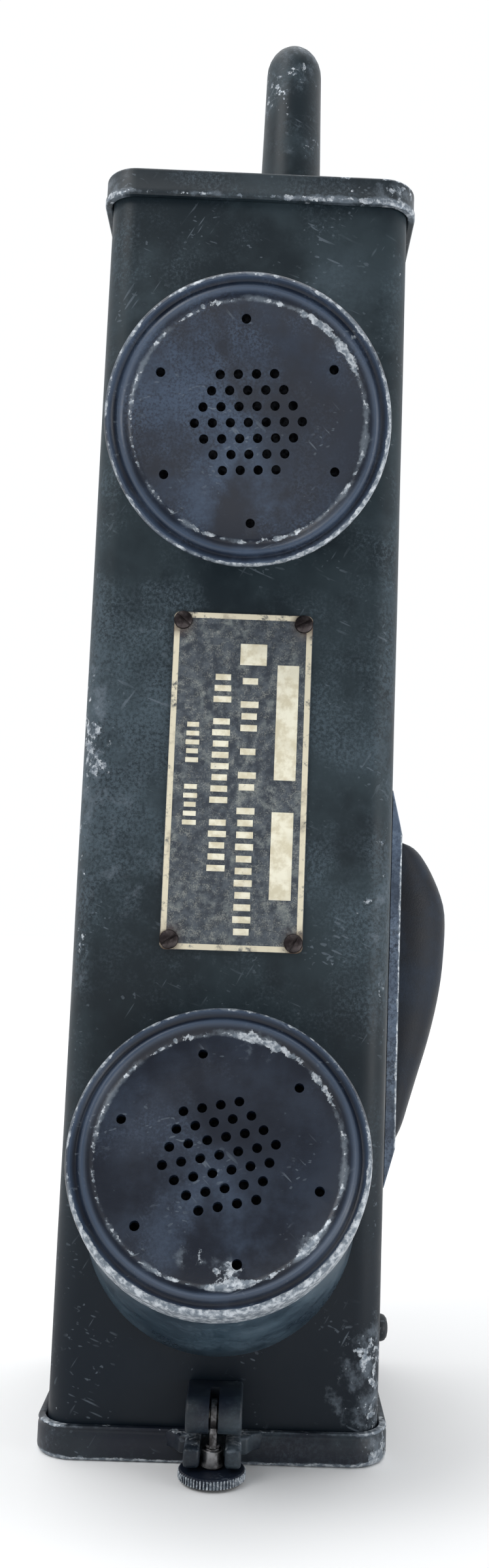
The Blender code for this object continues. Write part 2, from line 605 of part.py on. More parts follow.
def build_latch(b, case):
    """The lug and pin on the case, and the swing bolt with its collar and knurled nut."""
    arc = [math.radians(a) for a in range(90, 271, 20)]
    side = [(FRONT - GAP, PIVOT_Z - LUG_R)] + [(FRONT - GAP, PIVOT_Z + LUG_R)]
    side += [(BOLT_Y + LUG_R * math.cos(a), PIVOT_Z + LUG_R * math.sin(a)) for a in arc]
    lug = b.cross_prism("latch_lug", side, BOLT_X - 6.75, BOLT_X + 6.75, "black_paint")
    b.cut(lug, b.box(b.helper(), (BOLT_X - 1.2, BOLT_Y - 9, 5), (BOLT_X + 1.2, BOLT_Y + 5.6, 24)))
    start, end = (BOLT_X - 6.6, BOLT_Y, PIVOT_Z), (BOLT_X + 6.6, BOLT_Y, PIVOT_Z)
    hole = b.rod(b.helper(), 1.5, (-20, BOLT_Y, PIVOT_Z), (20, BOLT_Y, PIVOT_Z), steps=12)
    b.cut(lug, hole)
    pin = b.rod("latch_pin", 1.2, start, end, "bright_steel", 12)
    bolt = b.rod("latch_bolt", 3.3, (BOLT_X - 0.9, BOLT_Y, PIVOT_Z), (BOLT_X + 0.9, BOLT_Y, PIVOT_Z), "bright_steel", 16)
    b.join(bolt, b.box(b.helper(), (BOLT_X - 0.9, BOLT_Y - 1.7, 7.4), (BOLT_X + 0.9, BOLT_Y + 1.7, PIVOT_Z)))
    b.join(bolt, b.rod(b.helper(), 1.75, (BOLT_X, BOLT_Y, 0.9), (BOLT_X, BOLT_Y, 8.2), steps=12))
    b.cut(bolt, hole)
    axis = Matrix.Translation((BOLT_X, BOLT_Y, 0))
    ring = [(2.05, NUT_TOP + 0.3), (2.65, NUT_TOP + 0.3), (2.65, 7.3), (2.05, 7.3)]
    collar = b.lathe("latch_collar", ring, "bright_steel", axis, 16, closed=True)
    teeth = [NUT_R if k % 2 else NUT_R - 0.35 for k in range(48)]
    knurl = [(r * math.cos(math.pi * k / 24), r * math.sin(math.pi * k / 24)) for k, r in enumerate(teeth)]
    bore = circle(2.05, 48)
    rings = [(knurl, NUT_FOOT), (knurl, NUT_TOP), (bore, NUT_TOP), (bore, NUT_FOOT)]
    nut = b.stack("latch_nut", rings, "bright_steel", axis, closed=True)
    turn = pivot("latch_axis", BOLT_X, BOLT_Y, PIVOT_Z)
    adopt(case, lug, pin, turn)
    adopt(turn, bolt, collar)
    adopt(collar, nut)


# Inside


def build_chassis(b):
    """The folded plate that carries the circuit."""
    frame = b.box("chassis_frame", (CHASSIS_LEFT, CHASSIS_Y - CHASSIS_T, 30), (CHASSIS_RIGHT, CHASSIS_Y, 331.5), "chassis_aluminium")
    for z in SHELVES:
        low, high = (CHASSIS_LEFT, -34.0, z), (CHASSIS_RIGHT, CHASSIS_Y - 0.7, z + CHASSIS_T)
        b.join(frame, b.box(b.helper(), low, high))
    b.join(frame, b.box(b.helper(), (2.0, CHASSIS_Y - 0.7, 56.0), (15.0, 5.0, 58.0)))
    for x in (-28.0, 20.0):
        b.cut(frame, b.rod(b.helper(), 1.9, (x, -26, 325), (x, -26, 345), steps=10))
    return frame


def build_tube(b, number, x, z):
    """A miniature glass valve standing on a shelf."""
    spot = Matrix.Translation((x, TUBE_Y, z))
    profile = [(6.5, 0), (TUBE_R, 1.5), (TUBE_R, TUBE_H - 10), (7.0, TUBE_H - 5), (2.0, TUBE_H - 3), (0.9, TUBE_H)]
    return b.lathe(f"tube_{number}", profile, "glass", spot, 14)


def build_coil(b, name, x, z, radius, height, turns):
    """A wound former."""
    profile = [(radius - 1.2, 0)]
    pitch = height / turns
    for k in range(turns):
        profile += [(radius - 1.2, pitch * (k + 0.25)), (radius, pitch * (k + 0.5)), (radius - 1.2, pitch * (k + 0.75))]
    profile.append((radius - 1.2, height))
    return b.lathe(name, profile, "copper", Matrix.Translation((x, TUBE_Y, z)), 12)


def build_inside(b):
    """Chassis, valves, coils, transformer, crystals and the two batteries."""
    parts = [build_chassis(b)]
    rest = CHASSIS_T + GAP
    places = [(-27.0, SHELVES[1]), (-7.0, SHELVES[1]), (13.0, SHELVES[1]), (-27.0, SHELVES[2]), (-7.0, SHELVES[2])]
    for number, (x, z) in enumerate(places, 1):
        parts.append(build_tube(b, number, x, z + rest))
    z = SHELVES[2] + rest
    parts.append(b.box("if_can", (4.0, TUBE_Y - 9.5, z), (23.0, TUBE_Y + 9.5, z + 42), "chassis_aluminium"))
    z = SHELVES[3] + rest
    parts.append(build_coil(b, "tank_coil", -22.0, z, 10.0, 44.0, 4))
    parts.append(build_coil(b, "loading_coil", 8.0, z, 8.5, 54.0, 5))
    z = SHELVES[0] + rest
    parts.append(b.box("output_transformer", (-2.0, -33.0, z), (22.0, -12.0, z + 30), "dull_steel"))
    parts.append(b.box("crystal_unit", (-33.0, -24.0, z), (-11.0, -13.0, z + 28), "bakelite"))
    square = rounded(33.4, 33.4, 3.0, 2)
    parts.append(b.prism("ht_battery", square, 8.0, 300.0, "card", Matrix.Translation((-20.5, 20.5, 0))))
    cell = [(16.5, 8.0), (16.5, 156.0), (5.0, 156.0), (5.0, 158.5)]
    parts.append(b.lathe("filament_battery", cell, "card", Matrix.Translation((20.5, 21.0, 0)), 20))
    return parts


def main():
    """Build the whole radio."""
    clear_scene()
    b = Builder()
    case = build_case(b)
    adopt(case, *build_lid(b))
    build_nameplate(b, case)
    ear = ("ear_housing", "ear_cap", "ear_capsule", "ear_diaphragm")
    mouth = ("mouth_housing", "mouth_cap", "mic_capsule", "mic_diaphragm")
    adopt(case, *build_sound(b, ear, EAR_RIM_Z, EAR_REACH, EAR_TILT, EAR_BASE_Z, EAR_BASE_R, EAR_TURN))
    adopt(case, *build_sound(b, mouth, MOUTH_RIM_Z, MOUTH_REACH, MOUTH_TILT, MOUTH_BASE_Z, MOUTH_BASE_R, MOUTH_TURN))
    adopt(case, *build_antenna(b))
    build_talk_switch(b, case)
    adopt(case, build_strap_bracket(b))
    build_cover(b)
    adopt(case, *build_hinge(b))
    build_latch(b, case)
    adopt(case, *build_inside(b))


main()
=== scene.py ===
"""Shapes and finishes of a worn handheld radiotelephone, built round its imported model.

Lengths in the dataclasses are in millimetres, and meshes are written in metres.
"""

import json
import logging
import math
from abc import ABC, abstractmethod
from dataclasses import dataclass, field
from enum import Enum

import bmesh
import bpy
from mathutils import Matrix, Vector, noise

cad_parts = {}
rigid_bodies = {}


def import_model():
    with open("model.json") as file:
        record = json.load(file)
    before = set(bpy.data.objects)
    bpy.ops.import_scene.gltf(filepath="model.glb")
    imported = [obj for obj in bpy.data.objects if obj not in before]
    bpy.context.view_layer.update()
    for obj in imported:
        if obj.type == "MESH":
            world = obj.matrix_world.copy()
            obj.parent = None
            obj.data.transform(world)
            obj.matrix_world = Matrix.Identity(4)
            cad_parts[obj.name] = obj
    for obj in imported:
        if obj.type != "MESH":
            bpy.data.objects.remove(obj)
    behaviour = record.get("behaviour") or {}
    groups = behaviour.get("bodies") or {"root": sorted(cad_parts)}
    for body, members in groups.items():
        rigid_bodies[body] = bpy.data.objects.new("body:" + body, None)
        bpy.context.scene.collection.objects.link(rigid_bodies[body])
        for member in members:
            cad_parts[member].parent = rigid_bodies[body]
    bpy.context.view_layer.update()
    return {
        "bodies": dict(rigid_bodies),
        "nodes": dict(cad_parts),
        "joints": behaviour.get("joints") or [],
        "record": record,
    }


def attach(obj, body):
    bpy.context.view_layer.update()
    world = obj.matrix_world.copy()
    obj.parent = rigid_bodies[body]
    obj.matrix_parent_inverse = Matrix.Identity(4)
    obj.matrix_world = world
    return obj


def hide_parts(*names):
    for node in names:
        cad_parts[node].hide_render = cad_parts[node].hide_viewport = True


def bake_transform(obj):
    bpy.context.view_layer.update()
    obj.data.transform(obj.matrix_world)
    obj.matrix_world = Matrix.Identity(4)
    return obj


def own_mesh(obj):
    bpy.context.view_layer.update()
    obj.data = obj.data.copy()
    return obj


MM = 0.001
# Edges sharper than this, in degrees, stay sharp.
SMOOTH_ANGLE = 32.0
# Points nearer than this, in metres, are joined.
WELD = 1e-6
# Mixed noise above this has lost its paint.
CHIP_LIMIT = 0.66
# Kinds of the group sockets that aren't plain numbers, by name.
SOCKET_KINDS = {"Vector": "Vector", "Base": "Color", "Dark": "Color", "Dusty": "Color", "Color": "Color"}
# Places in the noise that give a dent its three parts.
DENT_SHIFTS = ((9.3, -1.5, -7.9), (0.0, 0.0, 0.0), (-6.2, 3.3, -9.5))
LOG = logging.getLogger("radiotelephone")

Outline = list[tuple[float, float]]
Ring = list[Vector]
Colour = tuple[float, float, float]
Bands = tuple[tuple[float, float, float], ...]
Material = bpy.types.Material
Node = bpy.types.Node
NodeTree = bpy.types.NodeTree
Object = bpy.types.Object
Socket = bpy.types.NodeSocket
Amount = Socket | float


class Turn(Enum):
    """Whether a skinned surface ends in caps or joins its last ring to its first."""

    CAPPED = "capped"
    JOINED = "joined"


def srgb(red: float, green: float, blue: float) -> Colour:
    """Turn display values from 0 to 255 into linear light."""
    parts = [value / 255 for value in (red, green, blue)]
    return tuple(p / 12.92 if p <= 0.04045 else ((p + 0.055) / 1.055) ** 2.4 for p in parts)


# Shapes


def rounded(width: float, depth: float, radius: float, steps: int = 10) -> Outline:
    """Outline of a rounded rectangle, counterclockwise.

    Args:
        width: Size along X.
        depth: Size along Y.
        radius: Corner radius.
        steps: Steps in each corner.

    Returns:
        The outline's points.
    """
    points = []
    for quarter in range(4):
        x = (width / 2 - radius) * (1 if quarter in (0, 3) else -1)
        y = (depth / 2 - radius) * (1 if quarter in (0, 1) else -1)
        for step in range(steps + 1):
            across, along = polar(radius, math.radians(90 * (quarter + step / steps)))
            points.append((x + across, y + along))
    return points


def circle(radius: float, steps: int = 64) -> Outline:
    """Outline of a circle with the given number of steps."""
    return [polar(radius, 2 * math.pi * step / steps) for step in range(steps)]


def polar(radius: float, angle: float) -> tuple[float, float]:
    """Point at a radius and an angle in radians."""
    return radius * math.cos(angle), radius * math.sin(angle)


def pose(spot: tuple[float, ...], degrees: float = 0.0, axis: str = "X") -> Matrix:
    """Frame at a spot, turned about one axis."""
    return Matrix.Translation(spot) @ Matrix.Rotation(math.radians(degrees), 4, axis)


def level(outline: Outline, height: float) -> Ring:
    """An outline set at a height."""
    return [Vector((x, y, height)) for x, y in outline]


@dataclass
class Shape:
    """Points in millimetres and the faces over them."""

    points: list[Vector] = field(default_factory=list)
    faces: list[tuple[int, ...]] = field(default_factory=list)

    def add(self, other: "Shape") -> "Shape":
        """Append another shape's points and faces."""
        start = len(self.points)
        self.points += other.points
        self.faces += [tuple(start + i for i in face) for face in other.faces]
        return self

    def moved(self, matrix: Matrix) -> "Shape":
        """A copy of the shape moved by a matrix in millimetres."""
        return Shape([matrix @ point for point in self.points], list(self.faces))


def skin(rings: list[Ring], turn: Turn = Turn.CAPPED) -> Shape:
    """Surface through rings that hold equal numbers of points.

    Args:
        rings: The rings in order.
        turn: How the surface ends.

    Returns:
        The surface.
    """
    count = len(rings[0])
    shape = Shape([point.copy() for ring in rings for point in ring])
    pairs = [(i, i + 1) for i in range(len(rings) - 1)]
    if turn is Turn.JOINED:
        pairs.append((len(rings) - 1, 0))
    for low, high in pairs:
        for j in range(count):
            k = (j + 1) % count
            shape.faces.append((low * count + j, low * count + k, high * count + k, high * count + j))
    if turn is Turn.CAPPED:
        last = (len(rings) - 1) * count
        shape.faces.append(tuple(reversed(range(count))))
        shape.faces.append(tuple(last + j for j in range(count)))
    return shape


def lathe(profile: Outline, steps: int = 64, turn: Turn = Turn.CAPPED) -> Shape:
    """Turned shape from (radius, height) points, lowest first."""
    return skin([level(circle(radius, steps), height) for radius, height in profile], turn)


def rod(radius: float, start: Vector, end: Vector, steps: int = 24, bevel: float = 0.0) -> Shape:
    """Round bar between two points.

    Args:
        radius: Its radius.
        start: Centre of one end.
        end: Centre of the other end.
        steps: Steps round it.
        bevel: Chamfer of both ends.

    Returns:
        The bar.
    """
    length = (end - start).length
    profile = [(radius, 0.0), (radius, length)]
    if bevel:
        profile = [(radius - bevel, 0.0), (radius, bevel), (radius, length - bevel), (radius - bevel, length)]
    frame = Matrix.Translation(start) @ (end - start).to_track_quat("Z", "Y").to_matrix().to_4x4()
    return lathe(profile, steps).moved(frame)


def block(low: tuple[float, ...], high: tuple[float, ...], bevel: float = 0.0) -> Shape:
    """Block between two corners, with its edges rounded.

    Args:
        low: Lowest corner.
        high: Highest corner.
        bevel: Radius of the edges.

    Returns:
        The block.
    """
    x, y, z = (Vector(high) - Vector(low)) / 2
    outline = [(x, y), (-x, y), (-x, -y), (x, -y)]
    centre = Matrix.Translation((Vector(high) + Vector(low)) / 2)
    return beveled(skin([level(outline, -z), level(outline, z)]), bevel).moved(centre)


def beveled(shape: Shape, radius: float, segments: int = 3, angle: float = 35.0) -> Shape:
    """Round the edges of a shape that are sharper than an angle.

    Args:
        shape: The shape.
        radius: Radius of the rounding, or 0 for none.
        segments: Segments across each rounding.
        angle: Smallest angle between faces that is rounded, in degrees.

    Returns:
        The rounded shape.
    """
    if not radius:
        return shape
    mesh = bmesh.new()
    corners = [mesh.verts.new(point) for point in shape.points]
    for face in shape.faces:
        mesh.faces.new([corners[i] for i in face])
    mesh.normal_update()
    sharp = [e for e in mesh.edges if len(e.link_faces) == 2 and e.calc_face_angle(0) > math.radians(angle)]
    bmesh.ops.bevel(mesh, geom=sharp, offset=radius, segments=segments, profile=0.5, affect="EDGES")
    mesh.verts.index_update()
    result = Shape([v.co.copy() for v in mesh.verts], [tuple(v.index for v in f.verts) for f in mesh.faces])
    mesh.free()
    return result


def side_prism(profile: Outline, y0: float, y1: float) -> Shape:
    """Solid over an (x, z) outline, run along Y."""
    return skin([[Vector((x, y, z)) for x, z in profile] for y in (y1, y0)])


def cross_prism(profile: Outline, x0: float, x1: float) -> Shape:
    """Solid over a (y, z) outline, run along X."""
    return skin([[Vector((x, y, z)) for y, z in profile] for x in (x0, x1)])


def dented(shape: Shape, depth: float, spread: float, seed: float) -> Shape:
    """Move points a little, as in a sheet that has been knocked about.

    Args:
        shape: The shape.
        depth: Largest move.
        spread: Distance over which the moves vary.
        seed: Offset into the noise.

    Returns:
        The shape with its points moved.
    """
    for point in shape.points:
        start = point / spread + Vector((seed, seed, seed))
        point += depth * Vector(noise.noise(start + Vector(shift)) for shift in DENT_SHIFTS)
    return shape


def mend(mesh: bpy.types.Mesh, weld: float = 0.0) -> None:
    """Turn a mesh's faces outwards, after joining points that are closer than a distance."""
    fixed = bmesh.new()
    fixed.from_mesh(mesh)
    if weld:
        bmesh.ops.remove_doubles(fixed, verts=fixed.verts, dist=weld)
    bmesh.ops.recalc_face_normals(fixed, faces=fixed.faces)
    fixed.to_mesh(mesh)
    fixed.free()


def piece(name: str, shape: Shape, finish: Material, angle: float = SMOOTH_ANGLE) -> Object:
    """A mesh object from a shape in millimetres.

    Args:
        name: Its name.
        shape: The shape.
        finish: Its material.
        angle: Edges sharper than this stay sharp, in degrees.

    Returns:
        The object.
    """
    mesh = bpy.data.meshes.new(name)
    mesh.from_pydata([tuple(point * MM) for point in shape.points], [], shape.faces)
    mend(mesh)
    mesh.shade_smooth()
    mesh.set_sharp_from_angle(angle=math.radians(angle))
    mesh.materials.append(finish)
    made = bpy.data.objects.new(name, mesh)
    bpy.context.collection.objects.link(made)
    return made


def framed(made: Object, frame: Matrix) -> Object:
    """Place an object by a frame given in millimetres."""
    world = frame.copy()
    world.translation = frame.translation * MM
    made.matrix_world = world
    return made


def carve(made: Object, cutter: Shape, frame: Matrix | None = None) -> None:
    """Cut a shape out of an object and keep only the result.

    Args:
        made: The object that is cut.
        cutter: The shape in millimetres.
        frame: Where the cutter sits, if it isn't in the object's own frame.
    """
    tool = piece("cutter", cutter, made.data.materials[0])
    if frame:
        framed(tool, frame)
    step = made.modifiers.new("cut", "BOOLEAN")
    step.operation = "DIFFERENCE"
    step.solver = "EXACT"
    step.object = tool
    bpy.context.view_layer.update()
    graph = bpy.context.evaluated_depsgraph_get()
    result = bpy.data.meshes.new_from_object(made.evaluated_get(graph))
    made.modifiers.clear()
    made.data = result
    result.set_sharp_from_angle(angle=math.radians(SMOOTH_ANGLE))
    bpy.data.objects.remove(tool)


def settle(made: Object, body: str, slot: str, *nodes: str) -> None:
    """Let a piece ride on a body in place of its nodes.

    Args:
        made: The piece.
        body: The body that it rides on.
        slot: The record's material slot; not used.
        *nodes: The nodes that it stands for.
    """
    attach(made, body)
    if nodes:
        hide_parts(*nodes)
    LOG.info("%s rides on %s", made.name, body)


# Node graphs


class Graph:
    """Adds nodes to a tree and links them, with plain numbers wherever no link is given."""

    def __init__(self, tree: NodeTree) -> None:
        """Keep the tree that nodes are added to."""
        self.tree = tree

    def node(self, kind: str, **settings: object) -> Node:
        """A new node of a kind with its settings."""
        made = self.tree.nodes.new(kind)
        for name, value in settings.items():
            setattr(made, name, value)
        return made

    def feed(self, socket: Socket, value: object) -> None:
        """Link a socket to another or set its value."""
        if isinstance(value, Socket):
            self.tree.links.new(value, socket)
        elif isinstance(value, tuple) and socket.type == "RGBA":
            socket.default_value = (*value, 1.0)[:4]
        else:
            socket.default_value = value

    def fill(self, made: Node, **values: object) -> Node:
        """Feed a node's inputs by name, with underscores for spaces."""
        for name, value in values.items():
            self.feed(made.inputs[name.replace("_", " ")], value)
        return made

    def math(self, operation: str, *values: object, clamp: bool = False) -> Socket:
        """Result of a Math node."""
        made = self.node("ShaderNodeMath", operation=operation, use_clamp=clamp)
        for socket, value in zip(made.inputs, values):
            self.feed(socket, value)
        return made.outputs[0]

    def vector(self, operation: str, first: object, second: object, output: str = "Vector") -> Socket:
        """Result of a Vector Math node."""
        made = self.node("ShaderNodeVectorMath", operation=operation)
        self.feed(made.inputs[0], first)
        self.feed(made.inputs[1], second)
        return made.outputs[output]

    def noise(self, vector: Socket, scale: object, detail: float = 4.0, rough: float = 0.6) -> Socket:
        """Noise between 0 and 1."""
        made = self.node("ShaderNodeTexNoise")
        return self.fill(made, Vector=vector, Scale=scale, Detail=detail, Roughness=rough).outputs[0]

    def ramp(self, value: Socket, low: float, high: Amount, start: float = 0.0, end: float = 1.0) -> Socket:
        """Smooth step of a value from one range to another."""
        made = self.node("ShaderNodeMapRange", interpolation_type="SMOOTHSTEP")
        return self.fill(made, Value=value, From_Min=low, From_Max=high, To_Min=start, To_Max=end).outputs[0]

    def mix(self, factor: object, first: object, second: object) -> Socket:
        """Blend of two colours."""
        made = self.node("ShaderNodeMix", data_type="RGBA")
        self.feed(made.inputs[0], factor)
        self.feed(made.inputs[6], first)
        self.feed(made.inputs[7], second)
        return made.outputs[2]

    def blend(self, factor: Socket, first: object, second: object) -> Socket:
        """Blend of two numbers."""
        made = self.node("ShaderNodeMix", data_type="FLOAT")
        self.feed(made.inputs[0], factor)
        self.feed(made.inputs[2], first)
        self.feed(made.inputs[3], second)
        return made.outputs[0]

    def split(self, vector: Socket) -> tuple[Socket, Socket, Socket]:
        """X, Y and Z of a vector."""
        made = self.node("ShaderNodeSeparateXYZ")
        self.feed(made.inputs[0], vector)
        return made.outputs[0], made.outputs[1], made.outputs[2]

    def place(self) -> Socket:
        """The piece's own coordinates in metres."""
        return self.node("ShaderNodeTexCoord").outputs["Object"]

    def bump(self, height: Socket, strength: float, distance: float) -> Socket:
        """Normal of a bumpy surface."""
        made = self.node("ShaderNodeBump")
        return self.fill(made, Strength=strength, Distance=distance, Height=height).outputs["Normal"]

    def use(self, group: NodeTree, **values: object) -> Node:
        """Place a node group and feed its inputs."""
        return self.fill(self.node("ShaderNodeGroup", node_tree=group), **values)


class Effects:
    """The node groups that several finishes share."""

    def __init__(self) -> None:
        """Build every group once."""
        self.tone = self.build_tone()
        self.chips = self.build_chips()
        self.scratches = self.build_scratches()
        self.band = self.build_band()
        self.dust = self.build_dust()

    @staticmethod
    def group(name: str, inputs: str, outputs: str = "Mask") -> tuple[Graph, dict[str, Socket], Node]:
        """An empty group with its sockets, whose kinds follow from their names.

        Args:
            name: The group's name.
            inputs: Names of its inputs.
            outputs: Names of its outputs.

        Returns:
            The graph, its inputs by name and its output node.
        """
        graph = Graph(bpy.data.node_groups.new(name, "ShaderNodeTree"))
        for side, titles in (("INPUT", inputs), ("OUTPUT", outputs)):
            for title in titles.split():
                kind = f"NodeSocket{SOCKET_KINDS.get(title, 'Float')}"
                graph.tree.interface.new_socket(title, in_out=side, socket_type=kind)
        given = {socket.name: socket for socket in graph.node("NodeGroupInput").outputs if socket.name}
        return graph, given, graph.node("NodeGroupOutput")

    def build_tone(self) -> NodeTree:
        """Cloudy colour of old paint, from a base to a dark and a dusty tone, with its height."""
        g, given, out = self.group("old_tone", "Vector Base Dark Dusty Scale", "Color Cloud Height")
        vector, scale = given["Vector"], given["Scale"]
        cloud = g.noise(vector, scale, 5.0, 0.62)
        patch = g.noise(vector, g.math("MULTIPLY", scale, 0.31), 3.0, 0.55)
        fine = g.noise(vector, g.math("MULTIPLY", scale, 22.0), 3.0, 0.65)
        colour = g.mix(g.ramp(cloud, 0.38, 0.62), given["Dark"], given["Base"])
        haze = g.math("MULTIPLY", g.ramp(patch, 0.48, 0.72), g.ramp(cloud, 0.42, 0.7), clamp=True)
        haze = g.math("MULTIPLY", haze, g.ramp(fine, 0.25, 0.65, 0.55, 1.0))
        g.fill(out, Color=g.mix(haze, colour, given["Dusty"]), Cloud=cloud)
        g.fill(out, Height=g.math("MULTIPLY_ADD", fine, 0.5, cloud))
        return g.tree

    def build_chips(self) -> NodeTree:
        """Flaked spots, which spread where the bias is high."""
        g, given, out = self.group("flaked_spots", "Vector Bias Scale Soft")
        vector, scale = given["Vector"], given["Scale"]
        spot = g.noise(vector, scale, 6.0, 0.68)
        region = g.noise(vector, g.math("MULTIPLY", scale, 0.22), 3.0, 0.5)
        total = g.math("MULTIPLY_ADD", spot, 0.62, g.math("MULTIPLY", region, 0.38))
        total = g.math("ADD", total, given["Bias"])
        edge = g.math("ADD", CHIP_LIMIT, given["Soft"])
        g.fill(out, Mask=g.ramp(total, CHIP_LIMIT, edge))
        return g.tree

    def build_scratches(self) -> NodeTree:
        """Fine scratches that lie in several directions."""
        g, given, out = self.group("fine_scratches", "Vector Scale")
        total: Amount = 0.0
        for number, angles in enumerate(((0.2, 0.5, 0.3), (1.2, 1.3, 0.4), (0.9, 2.2, 1.1), (1.9, 0.1, 2.0))):
            turned = g.node("ShaderNodeMapping", vector_type="TEXTURE")
            start = (0.1 * number, 0.07, 0.03)
            g.fill(turned, Vector=given["Vector"], Rotation=angles, Scale=(1.0, 1.0, 14.0), Location=start)
            streak = g.ramp(g.noise(turned.outputs[0], given["Scale"], 1.0, 0.4), 0.7, 0.735)
            total = g.math("MAXIMUM", total, streak)
        where = g.ramp(g.noise(given["Vector"], 75.0, 2.0), 0.5, 0.66)
        g.fill(out, Mask=g.math("MULTIPLY", total, where))
        return g.tree

    def build_band(self) -> NodeTree:
        """Soft band round one value."""
        g, given, out = self.group("soft_band", "Value Centre Width")
        away = g.math("ABSOLUTE", g.math("SUBTRACT", given["Value"], given["Centre"]))
        g.fill(out, Mask=g.ramp(g.math("DIVIDE", away, given["Width"]), 1.0, 0.0))
        return g.tree

    def build_dust(self) -> NodeTree:
        """Thin uneven dust."""
        g, given, out = self.group("thin_dust", "Vector Scale More")
        vector, scale, more = given["Vector"], given["Scale"], given["More"]
        wide = g.ramp(g.math("ADD", g.noise(vector, scale, 4.0, 0.6), more), 0.42, 0.75)
        grain = g.noise(vector, g.math("MULTIPLY", scale, 18.0), 4.0, 0.75)
        grain = g.ramp(g.math("MULTIPLY_ADD", more, 0.4, grain), 0.42, 0.66)
        g.fill(out, Mask=g.math("MULTIPLY", wide, grain))
        return g.tree


# Where wear, dust, painted shade and painted highlight gather


@dataclass(frozen=True)
class Spot:
    """A round region where a field rises, used for wear, dust and painted shade, in millimetres of the
    piece's own frame.
    """

    x: float
    y: float
    z: float
    reach: float
    amount: float

    def add(self, graph: Graph, place: Socket, total: Amount) -> Socket:
        """Add the spot's bias to a running total."""
        gap = graph.vector("DISTANCE", place, (self.x * MM, self.y * MM, self.z * MM), "Value")
        mask = graph.ramp(gap, 0.25 * self.reach * MM, self.reach * MM, self.amount, 0.0)
        return graph.math("ADD", mask, total)


class WearAndLightField(ABC):
    """Says where on a piece the paint has suffered, and where painted shade and painted highlight fall."""

    @abstractmethod
    def bias(self, graph: Graph, effects: Effects, place: Socket) -> Amount:
        """Extra bias at a place, for chips, dust, painted shade and painted highlight.

        Args:
            graph: The material's graph.
            effects: The shared groups.
            place: The piece's own coordinates.

        Returns:
            A number or a socket, about -0.2 to 0.4.
        """

    @staticmethod
    def banded(graph: Graph, effects: Effects, value: Socket, bands: Bands, total: Amount) -> Amount:
        """Add the bias of soft bands round values.

        Args:
            graph: The material's graph.
            effects: The shared groups.
            value: The value that runs through the bands.
            bands: Centre, width and amount of each.
            total: What they are added to.

        Returns:
            The new total.
        """
        for centre, width, amount in bands:
            mask = graph.use(effects.band, Value=value, Centre=centre * MM, Width=width * MM).outputs[0]
            total = graph.math("MULTIPLY_ADD", mask, amount, total)
        return total


@dataclass(frozen=True)
class EvenWearAndShade(WearAndLightField):
    """The same bias everywhere, for wear, dust and painted shade."""

    amount: float = 0.0

    def bias(self, graph: Graph, effects: Effects, place: Socket) -> Amount:
        """The same bias everywhere."""
        return self.amount


@dataclass(frozen=True)
class TrayWear(WearAndLightField):
    """Wear along the upright corners of a box and along its levels."""

    half_x: float
    half_y: float
    radius: float
    levels: Bands = ()
    corner: float = 0.14
    base: float = -0.06
    spots: tuple[Spot, ...] = ()

    def bias(self, graph: Graph, effects: Effects, place: Socket) -> Amount:
        """Bias that rises towards corners and levels."""
        x, y, z = graph.split(place)
        reach = []
        for axis, half in ((x, self.half_x), (y, self.half_y)):
            low, high = (half - self.radius * 1.1) * MM, (half - 0.1 * self.radius) * MM
            reach.append(graph.ramp(graph.math("ABSOLUTE", axis), low, high))
        total = graph.math("MULTIPLY_ADD", graph.math("MULTIPLY", *reach), self.corner, self.base)
        total = self.banded(graph, effects, z, self.levels, total)
        for spot in self.spots:
            total = spot.add(graph, place, total)
        return total


@dataclass(frozen=True)
class RimWearAndLight(WearAndLightField):
    """Wear, painted shade and painted highlight along rings round the piece's own axis, heavier to one side.
    """

    rings: Bands
    base: float = -0.06
    heavy_turn: float = -60.0
    heavy: float = 0.06
    spots: tuple[Spot, ...] = ()

    def bias(self, graph: Graph, effects: Effects, place: Socket) -> Amount:
        """Bias that rises on the rings and on the heavy side."""
        x, y, _ = graph.split(place)
        radius = graph.math("SQRT", graph.math("MULTIPLY_ADD", x, x, graph.math("MULTIPLY", y, y)))
        total = self.banded(graph, effects, radius, self.rings, self.base)
        turn = math.radians(self.heavy_turn)
        side = graph.math("MULTIPLY_ADD", x, math.cos(turn), graph.math("MULTIPLY", y, math.sin(turn)))
        outer = graph.ramp(radius, 32.5 * MM, 33.8 * MM)
        lean = graph.ramp(graph.math("DIVIDE", side, 34.0 * MM), -0.1, 1.0, 0.0, self.heavy)
        total = graph.math("MULTIPLY_ADD", lean, outer, total)
        for spot in self.spots:
            total = spot.add(graph, place, total)
        return total


@dataclass(frozen=True)
class LevelWearAndShade(WearAndLightField):
    """Wear and painted shade along chosen values of one of the piece's own axes."""

    axis: int
    levels: Bands
    base: float = -0.05

    def bias(self, graph: Graph, effects: Effects, place: Socket) -> Amount:
        """Bias that rises at each level."""
        return self.banded(graph, effects, graph.split(place)[self.axis], self.levels, self.base)


# Finishes


class Finish(ABC):
    """A named finish that makes one material."""

    name: str

    def fresh(self) -> tuple[Material, Graph, Node, Socket]:
        """A new material with its graph, its Principled shader and the piece's coordinates."""
        made = bpy.data.materials.new(self.name)
        made.use_nodes = True
        graph = Graph(made.node_tree)
        return made, graph, made.node_tree.nodes["Principled BSDF"], graph.place()

    def tone(self, g: Graph, effects: Effects, place: Socket) -> Node:
        """Cloudy tone in the finish's own base, dark and dusty colours."""
        colours = {"Base": self.base, "Dark": self.dark, "Dusty": self.dusty}
        return g.use(effects.tone, Vector=place, Scale=self.scale, **colours)

    @abstractmethod
    def make(self, effects: Effects) -> Material:
        """Build the material from the shared groups."""


